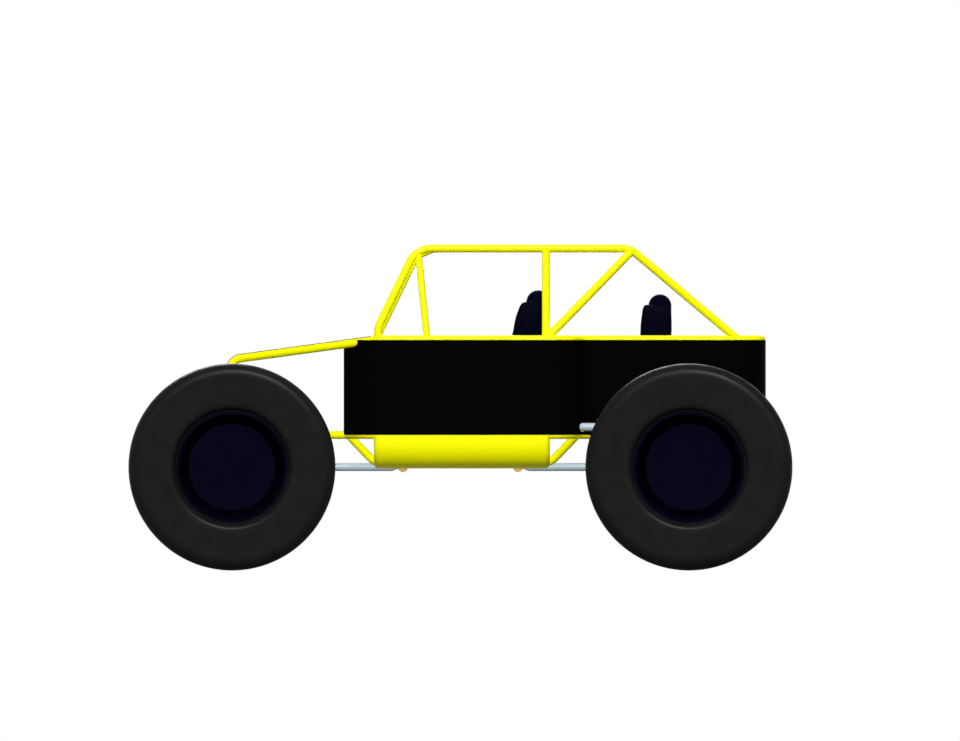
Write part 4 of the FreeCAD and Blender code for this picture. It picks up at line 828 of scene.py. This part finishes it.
def pressed(points, normals, facing, inner, span, insertEnd, seam, boxing, fade=1.0, rear=0.0):
    # channels over the span, bolster seams, one seam across, and a boxing seam round the sides; returns the
    # points and the share of woven insert
    form = seatForm
    along, across, level = points[:, 2 - facing], np.abs(points[:, 1]), points[:, facing]
    faced = rise(normals[:, facing], 0.1, 0.6)
    insert = faced * (1 - rise(across, inner - 0.008, inner)) * (1 - rise(along, *insertEnd))
    lines, puff = channels(along, *span)
    bolster = groove(across - inner) * faced * fade
    crossing = groove(along - seam) * faced * (1 - rise(across, inner, inner + 0.01))
    around = groove(level - boxing) * (1 - rise(np.abs(normals[:, facing]), 0.5, 0.8)) * fade
    depth = np.maximum.reduce([
        form["channelDepth"] * lines * insert, form["seamDepth"] * bolster, form["seamDepth"] * crossing,
        form["boxingDepth"] * np.maximum(around, rear)])
    return points + normals * (form["puff"] * puff * insert - depth)[:, None], insert


def pressedBack(points, normals, kind):
    # the crossing seam is under the headrest; the rear face has a seam inside each edge
    shoulder = kind["shoulder"]
    inset, boxing, start, end, fadeFrom, fadeTo = seatForm["backSeams"]
    rear = groove(np.abs(points[:, 1]) - (kind["half"] - inset)) * rise(-normals[:, 0], 0.3, 0.8)
    fade = 1 - rise(points[:, 2], shoulder - fadeFrom, shoulder - fadeTo)
    ends = (shoulder - end, shoulder - end + 0.005)
    return pressed(points, normals, 0, kind["inner"], (start, ends[0]), ends, ends[1], boxing, fade, rear)


def pressedCushion(points, normals, kind):
    # the crossing seam is behind the thigh roll; the underside lies flat on the deck
    start, end, boxing, lowest = seatForm["cushionSeams"]
    roll = kind["reach"] - end
    points, insert = pressed(points, normals, 2, kind["inner"], (start, roll), (roll - 0.004, roll), roll,
                             kind["height"] * boxing)
    points[:, 2] = np.maximum(points[:, 2], lowest)
    return points, insert


def stitchRow(line, points, normals, facing):
    # short thread bars on the skin, along a line of places in the two coordinates square to the facing axis
    faced = normals[:, facing] > 0.25
    skin, out = points[faced], normals[faced]
    rest = [axis for axis in range(3) if axis != facing]
    gap = ((line[:, None, :] - skin[None, :, rest]) ** 2).sum(-1)
    near = gap.argmin(1)
    spot, normal = skin[near].copy(), out[near]
    spot[:, rest] = line
    run = unit(np.gradient(spot, axis=0)) * seatForm["stitch"][0]
    radii, heights = np.array(seatForm["thread"])
    steps, lifts = np.array([[-1], [0], [1]]), heights[:, None]
    return [tubeAlong(place + steps * along + lifts * out, np.stack([out] * 3), radii, 5)
            for place, along, out in zip(spot, run, normal)]


def seated(name, mesh, points, insert, node):
    # a copy of the pad with these points, and with the share of woven insert stored on them
    pad = mesh.copy()
    pad.name = name
    pad.vertices.foreach_set("co", points.reshape(-1))
    pad.attributes.new("insert", "FLOAT", "POINT").data.foreach_set("value", insert.astype(np.float32))
    finished(name, pad, "seatCloth", "seat", [node], crease=60)


pads = {}
for end, kind in seatForm["kinds"].items():
    pads["back_" + end] = remeshed("back_" + end, backBlocks(kind))
    pads["cushion_" + end] = remeshed("cushion_" + end, cushionBlocks(kind))
inflated(list(pads.values()))
for end, kind in seatForm["kinds"].items():
    tilt = math.radians(kind["lean"])
    leaning = np.array([(math.cos(tilt), 0, math.sin(tilt)), (0, 1, 0), (-math.sin(tilt), 0, math.cos(tilt))])
    _, pitch, beside = seatForm["stitch"]
    row = kind["inner"] + beside
    parts, thread = [], []
    for part, facing, axes, press, low, high in (
            ("back_", 0, leaning, pressedBack, 0.14, kind["shoulder"] - 0.06),
            ("cushion_", 2, np.eye(3), pressedCushion, 0.13, kind["reach"] - 0.05)):
        mesh = pads[part + end].data
        points, normals = pointsAndNormals(mesh)
        points, insert = press(points, normals, kind)
        parts.append((part, mesh, points @ axes, insert))
        line = np.arange(low, high, pitch)
        for place in (-row, row):
            pair = [np.full_like(line, place), line]
            stitches = stitchRow(np.stack(pair if facing == 0 else pair[::-1], 1), points, normals, facing)
            thread += [stitch @ axes for stitch in stitches]
    for (hand, _), mirror in zip(hands, mirrors):
        foot, seat = kind["foot"] * mirror, end + "_" + hand
        for part, mesh, points, insert in parts:
            seated(part + seat, mesh, foot + points, insert, "seat_" + seat)
        piece("stitches_" + seat, [foot + stitch for stitch in thread], "seatThread", "seat")
for thing in pads.values():
    bpy.data.objects.remove(thing)
print("seats made")

# ---- steering wheel ----
steerForm = {
    "hub": (0.135, 0.33, 1.105),
    "run": (0.90631, 0.0, -0.42262),
    "radius": 0.165,
    "grip": 0.0121,
    "swell": 0.0005,            # thumb swell beside each spoke
    "wrap": 0.00035,            # how far the wrapping's edges stand out
    "wraps": 150,
    "spokeTurns": (90, 210, 330),
    "spokeLevel": 0.005,
    "spokeWide": 0.027,
    "spokeThick": 0.005,
    "rails": (0.02, 0.158, 0.36, 0.28),  # start, end, offset and width as shares of the spoke's width
    "bridges": [(0.02, 0.05), (0.082, 0.092), (0.124, 0.158)],
    "boss": [(-0.004, 0), (-0.004, 0.017), (-0.001, 0.0245), (0.002, 0.0268), (0.0385, 0.0268),
             (0.04, 0.025), (0.04, 0)],
    "screws": {"count": 6, "ring": 0.01368, "level": -0.0035, "radius": 0.003, "height": 0.0022},
}


def steeringWheel():
    # wrapped rim, three slotted spokes, boss with a ring of screws
    form, screw = steerForm, steerForm["screws"]
    hub, run = np.array(form["hub"]), unit(form["run"])
    sideways = np.array((0.0, 1.0, 0.0))
    top = np.cross(run, sideways)
    path, out = circle(hub, run, form["radius"], form["wraps"] * 3)
    place = np.arctan2((path - hub) @ top, (path - hub) @ sideways)
    swell = form["swell"] * (np.cos(3 * place - math.pi / 2) > 0.2)
    wrap = form["wrap"] * np.cos(np.arange(len(path)) * 2 * math.pi / 3)
    grip = [tubeAlong(path, out, form["grip"] + swell + wrap, 14, True)]
    spokes = []
    width, thick, level = form["spokeWide"], form["spokeThick"], hub + run * form["spokeLevel"]
    start, end, offset, railWide = form["rails"]
    for degrees in form["spokeTurns"]:
        way = swung(math.radians(degrees), sideways, top)
        wide = np.cross(run, way)
        for shift in (-1, 1):
            rail = level + wide * shift * width * offset
            spokes.append(bar(rail + way * start, rail + way * end, wide, width * railWide, thick))
        for near, far in form["bridges"]:
            spokes.append(bar(level + way * near, level + way * far, wide, width * 0.5, thick))
    places, _ = circle(hub + run * screw["level"], run, screw["ring"], screw["count"])
    screws = [hexHead(place, -run, screw["radius"], screw["height"]) for place in places]
    for name, grids, finish, crease, closeRows in (
            ("wheelGrip", grip, "gripBlack", 60, True), ("wheelSpokes", spokes, "castIron", 35, False),
            ("wheelBoss", [turned(form["boss"], hub, run)], "panelBlack", 35, False),
            ("wheelScrews", screws, "boltZinc", 35, False)):
        piece(name, grids, finish, "grip", ["steering_wheel"], "steering_wheel", crease, closeRows=closeRows)


steeringWheel()

# ---- bolts at the joints, jam nuts on the links ----
boltForm = {
    "links": [  # eye on the frame, eye on the axle, ends with a jam nut
        ((0.3174, 0.38, 0.5715), (1.1654, 0.43, 0.5715), 1),
        ((-0.3174, 0.38, 0.5715), (-1.1654, 0.43, 0.5715), 1),
        ((0.8, 0.4365, 0.8), (1.2614, 0.38, 0.8), 2),
        ((-0.612, 0.548, 0.7925), (-1.2614, 0.548, 0.7925), 2),
    ],
    "linkEar": 0.025,           # from the middle of an eye to the outer face of its ear
    "coilEar": 0.036,
    "hexRadius": 0.0135,
    "hexHeight": 0.0064,
    "washer": [(0, 0), (0, 0.0165), (0.0016, 0.0165), (0.0016, 0)],
    "nut": [(0.0218, 0), (0.0218, 0.0168), (0.0228, 0.018), (0.03, 0.018), (0.031, 0.0168), (0.031, 0)],
}
eyes = [(eye, boltForm["linkEar"]) for link in boltForm["links"] for eye in link[:2]]
eyes += [(eye, boltForm["coilEar"]) for place in coilForm["places"] for eye in place[1:]]
heads, nuts = [], []
for mirror in mirrors:
    for eye, ear in eyes:
        for way in (-1, 1):
            face = eye * mirror + (0, way * ear, 0)
            heads += [turned(boltForm["washer"], face, (0, way, 0), 24),
                      hexHead(face, (0, way, 0), boltForm["hexRadius"], boltForm["hexHeight"])]
    for inner, outer, count in boltForm["links"]:
        for eye, far in ((outer, inner), (inner, outer))[:count]:
            nuts.append(turned(boltForm["nut"], eye * mirror, (np.array(far) - eye) * mirror, 6))
piece("jointBolts", heads, "boltZinc", "bracket")
piece("jamNuts", nuts, "rotorSteel", "link")

# ---- weld beads ----
weldForm = {
    "tube": 0.022225,
    "brace": 0.01905,
    "bead": 0.003,
    "ripple": 0.0005,
    "points": 144,
    "clear": 0.0004,            # below the top of the cage
    "bothEnds": [  # tubes with a bead at each end: their ends, the main tubes' direction, size
        ((-0.4722, 0.575, 1.7783), (-0.4722, 0.645, 1.2765), "x", "tube"),
        ((-0.4722, 0.645, 1.2765), (-0.4722, 0.645, 0.7483), "x", "tube"),
        ((-1.01, 0.487, 1.2765), (-1.01, 0.487, 0.7483), "x", "tube"),
        ((-0.4722, 0, 1.225), (-0.4722, 0, 1.7783), "y", "brace"),
    ],
    "inward": [  # tubes straight across: the left end, the main tube's direction, size
        ((-0.4722, 0.575, 1.7783), "x", "tube"), ((0.14, 0.575, 1.7783), "x", "tube"),
        ((-0.85, 0.575, 1.7783), "x", "tube"), ((-0.4722, 0.645, 1.225), "z", "tube"),
        ((0.25, 0.487, 0.5888), "x", "brace"), ((-0.25, 0.487, 0.5888), "x", "brace"),
        ((1.269, 0.303, 1.05), "z", "tube"),
    ],
    "oneEnd": [  # the end, a point it runs to, the main tube's direction, size, a point on the main tube
        ((-0.4722, 0.645, 1.2765), (-0.947, 0.575, 1.766), "x", "tube"),
        ((-0.947, 0.575, 1.766), (-0.4722, 0.645, 1.2765), "x", "tube", (-0.947, 0.575, 1.7783)),
        ((0.184, 0.645, 1.2765), (0.233, 0.5816, 1.73), "x", "brace"),
        ((-1.53, 0.487, 1.2765), (-0.935, 0.575, 1.7783), "x", "tube"),
        ((0.4552, 0.645, 1.2765), (0, 0.645, 1.2765), "z", "tube"),
    ],
}


def copeLine(start, run, through, main, radius):
    # where a tube meets a main tube: start + r (cos t u + sin t v) + s * along, s from |w + s * along| = R
    along, first, second = squareTo(run)
    ring = radius * swung(fullTurn(weldForm["points"])[:, None], first, second)
    offset = start - through + ring
    flat = offset - (offset @ main)[:, None] * main
    lean = along - (along @ main) * main
    half = flat @ lean
    rest = (flat ** 2).sum(1) - weldForm["tube"] ** 2
    reach = (np.sqrt(np.maximum(half * half - (lean @ lean) * rest, 0)) - half) / (lean @ lean)
    return start + ring + reach[:, None] * along, ring / radius


joints = list(weldForm["oneEnd"])
for start, end, *rest in weldForm["bothEnds"]:
    joints += [(start, end, *rest), (end, start, *rest)]
joints += [(start, (start[0], 0, start[2]), *rest) for start, *rest in weldForm["inward"]]
beads = []
ripple = weldForm["ripple"] * np.cos(np.arange(weldForm["points"]) * math.pi / 2)
for start, end, main, size, *through in joints:
    for mirror in mirrors if start[1] else mirrors[:1]:
        line, out = copeLine(start * mirror, (np.array(end) - start) * mirror,
                             (through or [start])[0] * mirror, np.eye(3)["xyz".index(main)], weldForm[size])
        bead = tubeAlong(line, out, weldForm["bead"] + ripple, 6, True)
        bead[..., 2] = np.minimum(bead[..., 2], cadBox[1][2] - weldForm["clear"])
        beads.append(bead)
piece("weldBeads", beads, "cageYellow", "frame", crease=70, closeRows=True)

# ---- radiator core ----
coreForm = {
    "low": 0.7712, "high": 1.0271, "half": 0.2215, "middle": 1.269,
    "rows": (34, 0.004, 0.038, 0.002),    # count, edge, depth, gauge
    "fins": (108, 0.001, 0.0372, 0.0005),
}
low, high, half, middle = coreForm["low"], coreForm["high"], coreForm["half"], coreForm["middle"]
count, border, depth, gauge = coreForm["rows"]
core = [bar((middle, -half, height), (middle, half, height), (1, 0, 0), depth, gauge)
        for height in np.linspace(low + border, high - border, count)]
count, border, depth, gauge = coreForm["fins"]
core += [bar((middle, place, low), (middle, place, high), (1, 0, 0), depth, gauge)
         for place in np.linspace(-half + border, half - border, count)]
piece("radiatorCore", core, "trayAlloy", "radiator")

# ---- gauges and switches on the dash ----
dashForm = {
    "brow": (0.3374, 1.2445),
    "knee": (0.2974, 1.1265),
    "gauges": [  # place across, radius, needle angle
        (0.33, 0.046, 200), (0.215, 0.031, 235), (0.13, 0.031, 130), (0.045, 0.031, 160),
        (0.445, 0.031, 215),
    ],
    "gaugeShare": 0.46,         # of the way down the face
    "bezel": [(-0.001, -0.005), (-0.001, 0), (0.006, 0), (0.008, -0.002), (0.008, -0.004), (0.005, -0.005),
              (-0.001, -0.005)],  # radii from the gauge's own
    "dialInset": 0.0045,
    "dialFace": 0.0033,
    "dial": (-0.0005, 0.003),  # underside and top
    "marks": (-135, 135, 11),   # first and last angle, count
    "mark": (0.0115, 0.0065, 0.0016, 0.0006),  # both ends inside the gauge's radius, width, gauge
    "needle": (0.0022, 0.006, 0.01, 0.0018, 0.0008),  # height, tail, inside the radius, width, gauge
    "pin": [(-0.0005, 0), (-0.0005, 0.0035), (0.0036, 0.003), (0.0036, 0)],
    "switches": {"first": -0.1, "step": -0.036, "count": 6, "share": 0.4, "lean": 0.45},
    "collar": [(-0.001, 0), (-0.001, 0.0075), (0.003, 0.0075), (0.004, 0.006), (0.004, 0)],
    "lever": [(0, 0), (0, 0.002), (0.016, 0.003), (0.019, 0.0024), (0.02, 0)],
}


def dashPoint(across, share):
    # a point on the dash face: brow + share * (knee - brow)
    brow, knee = (np.insert(dashForm[end], 1, across) for end in ("brow", "knee"))
    return brow + share * (knee - brow)


down = unit(dashPoint(0, 1) - dashPoint(0, 0))
outward = np.array((down[2], 0, -down[0]))


def onDial(middle, degrees, near, far, width, thick):
    # flat bar between two distances from a dial's middle, at an angle from its top
    way = swung(math.radians(degrees), -down, np.array((0, 1, 0)))
    return bar(middle + way * near, middle + way * far, np.cross(outward, way), width, thick)


dashFinish = {"gaugeBezels": "rotorSteel", "gaugeDials": "dashBlack", "gaugeMarks": "dialWhite",
              "gaugeNeedles": "needleRed", "dashSwitches": "rotorSteel"}
dash = {name: [] for name in dashFinish}
for across, radius, pointing in dashForm["gauges"]:
    place = dashPoint(across, dashForm["gaugeShare"])
    level = place + outward * dashForm["dialFace"]
    face = radius - dashForm["dialInset"]
    bezel = [(height, radius + extra) for height, extra in dashForm["bezel"]]
    low, high = dashForm["dial"]
    dial = [(low, 0), (low, face), (high, face), (high, 0)]
    dash["gaugeBezels"].append(turned(bezel, place, outward, 48))
    dash["gaugeDials"].append(turned(dial, place, outward, 48))
    near, far, *size = dashForm["mark"]
    dash["gaugeMarks"] += [onDial(level, degrees, radius - near, radius - far, *size)
                           for degrees in np.linspace(*dashForm["marks"])]
    lift, tail, tip, *size = dashForm["needle"]
    dash["gaugeNeedles"] += [onDial(level + outward * lift, pointing, -tail, radius - tip, *size),
                             turned(dashForm["pin"], level, outward, 16)]
switch = dashForm["switches"]
for step in range(switch["count"]):
    place = dashPoint(switch["first"] + switch["step"] * step, switch["share"])
    dash["dashSwitches"] += [
        turned(dashForm["collar"], place, outward, 6),
        turned(dashForm["lever"], place + outward * 0.003, outward - down * switch["lean"], 14)]
for name, grids in dash.items():
    piece(name, grids, dashFinish[name], "panel")

# ---- brake discs ----
discForm = {"inner": 0.099, "outer": 0.1652, "near": 0.96185, "far": 0.97415, "edge": 0.001}
inner, outer, near, far, bevel = discForm.values()
ring = [(near, inner), (near, outer - bevel), (near + bevel, outer), (far - bevel, outer),
        (far, outer - bevel), (far, inner), (near, inner)]
for wheel, _, x, side in wheels:
    disc = turned(ring, (x, 0, wheelForm["height"]), (0, side, 0), 72)
    piece("brakeDisc_" + wheel, [disc], "rotorSteel", "rim", body="wheel_" + wheel)

# ---- quarter turn fasteners round the side panels ----
fastenerForm = {
    "button": [(-0.0012, 0), (-0.0012, 0.009), (0.0006, 0.009), (0.002, 0.0062), (0.0024, 0)],
    "heights": (0.772, 1.25),
    "rows": [  # first x, last x, count, outer face of the panel
        (0.43, -0.54, 9, 0.6702),
        (-0.75, -1.48, 7, 0.5122),
    ],
}
buttons = [turned(fastenerForm["button"], (x, face, height) * mirror, (0, 1, 0) * mirror, 20)
           for first, last, count, face in fastenerForm["rows"] for x in np.linspace(first, last, count)
           for height in fastenerForm["heights"] for mirror in mirrors]
piece("panelFasteners", buttons, "panelBlack", "panel")
print("fittings made")
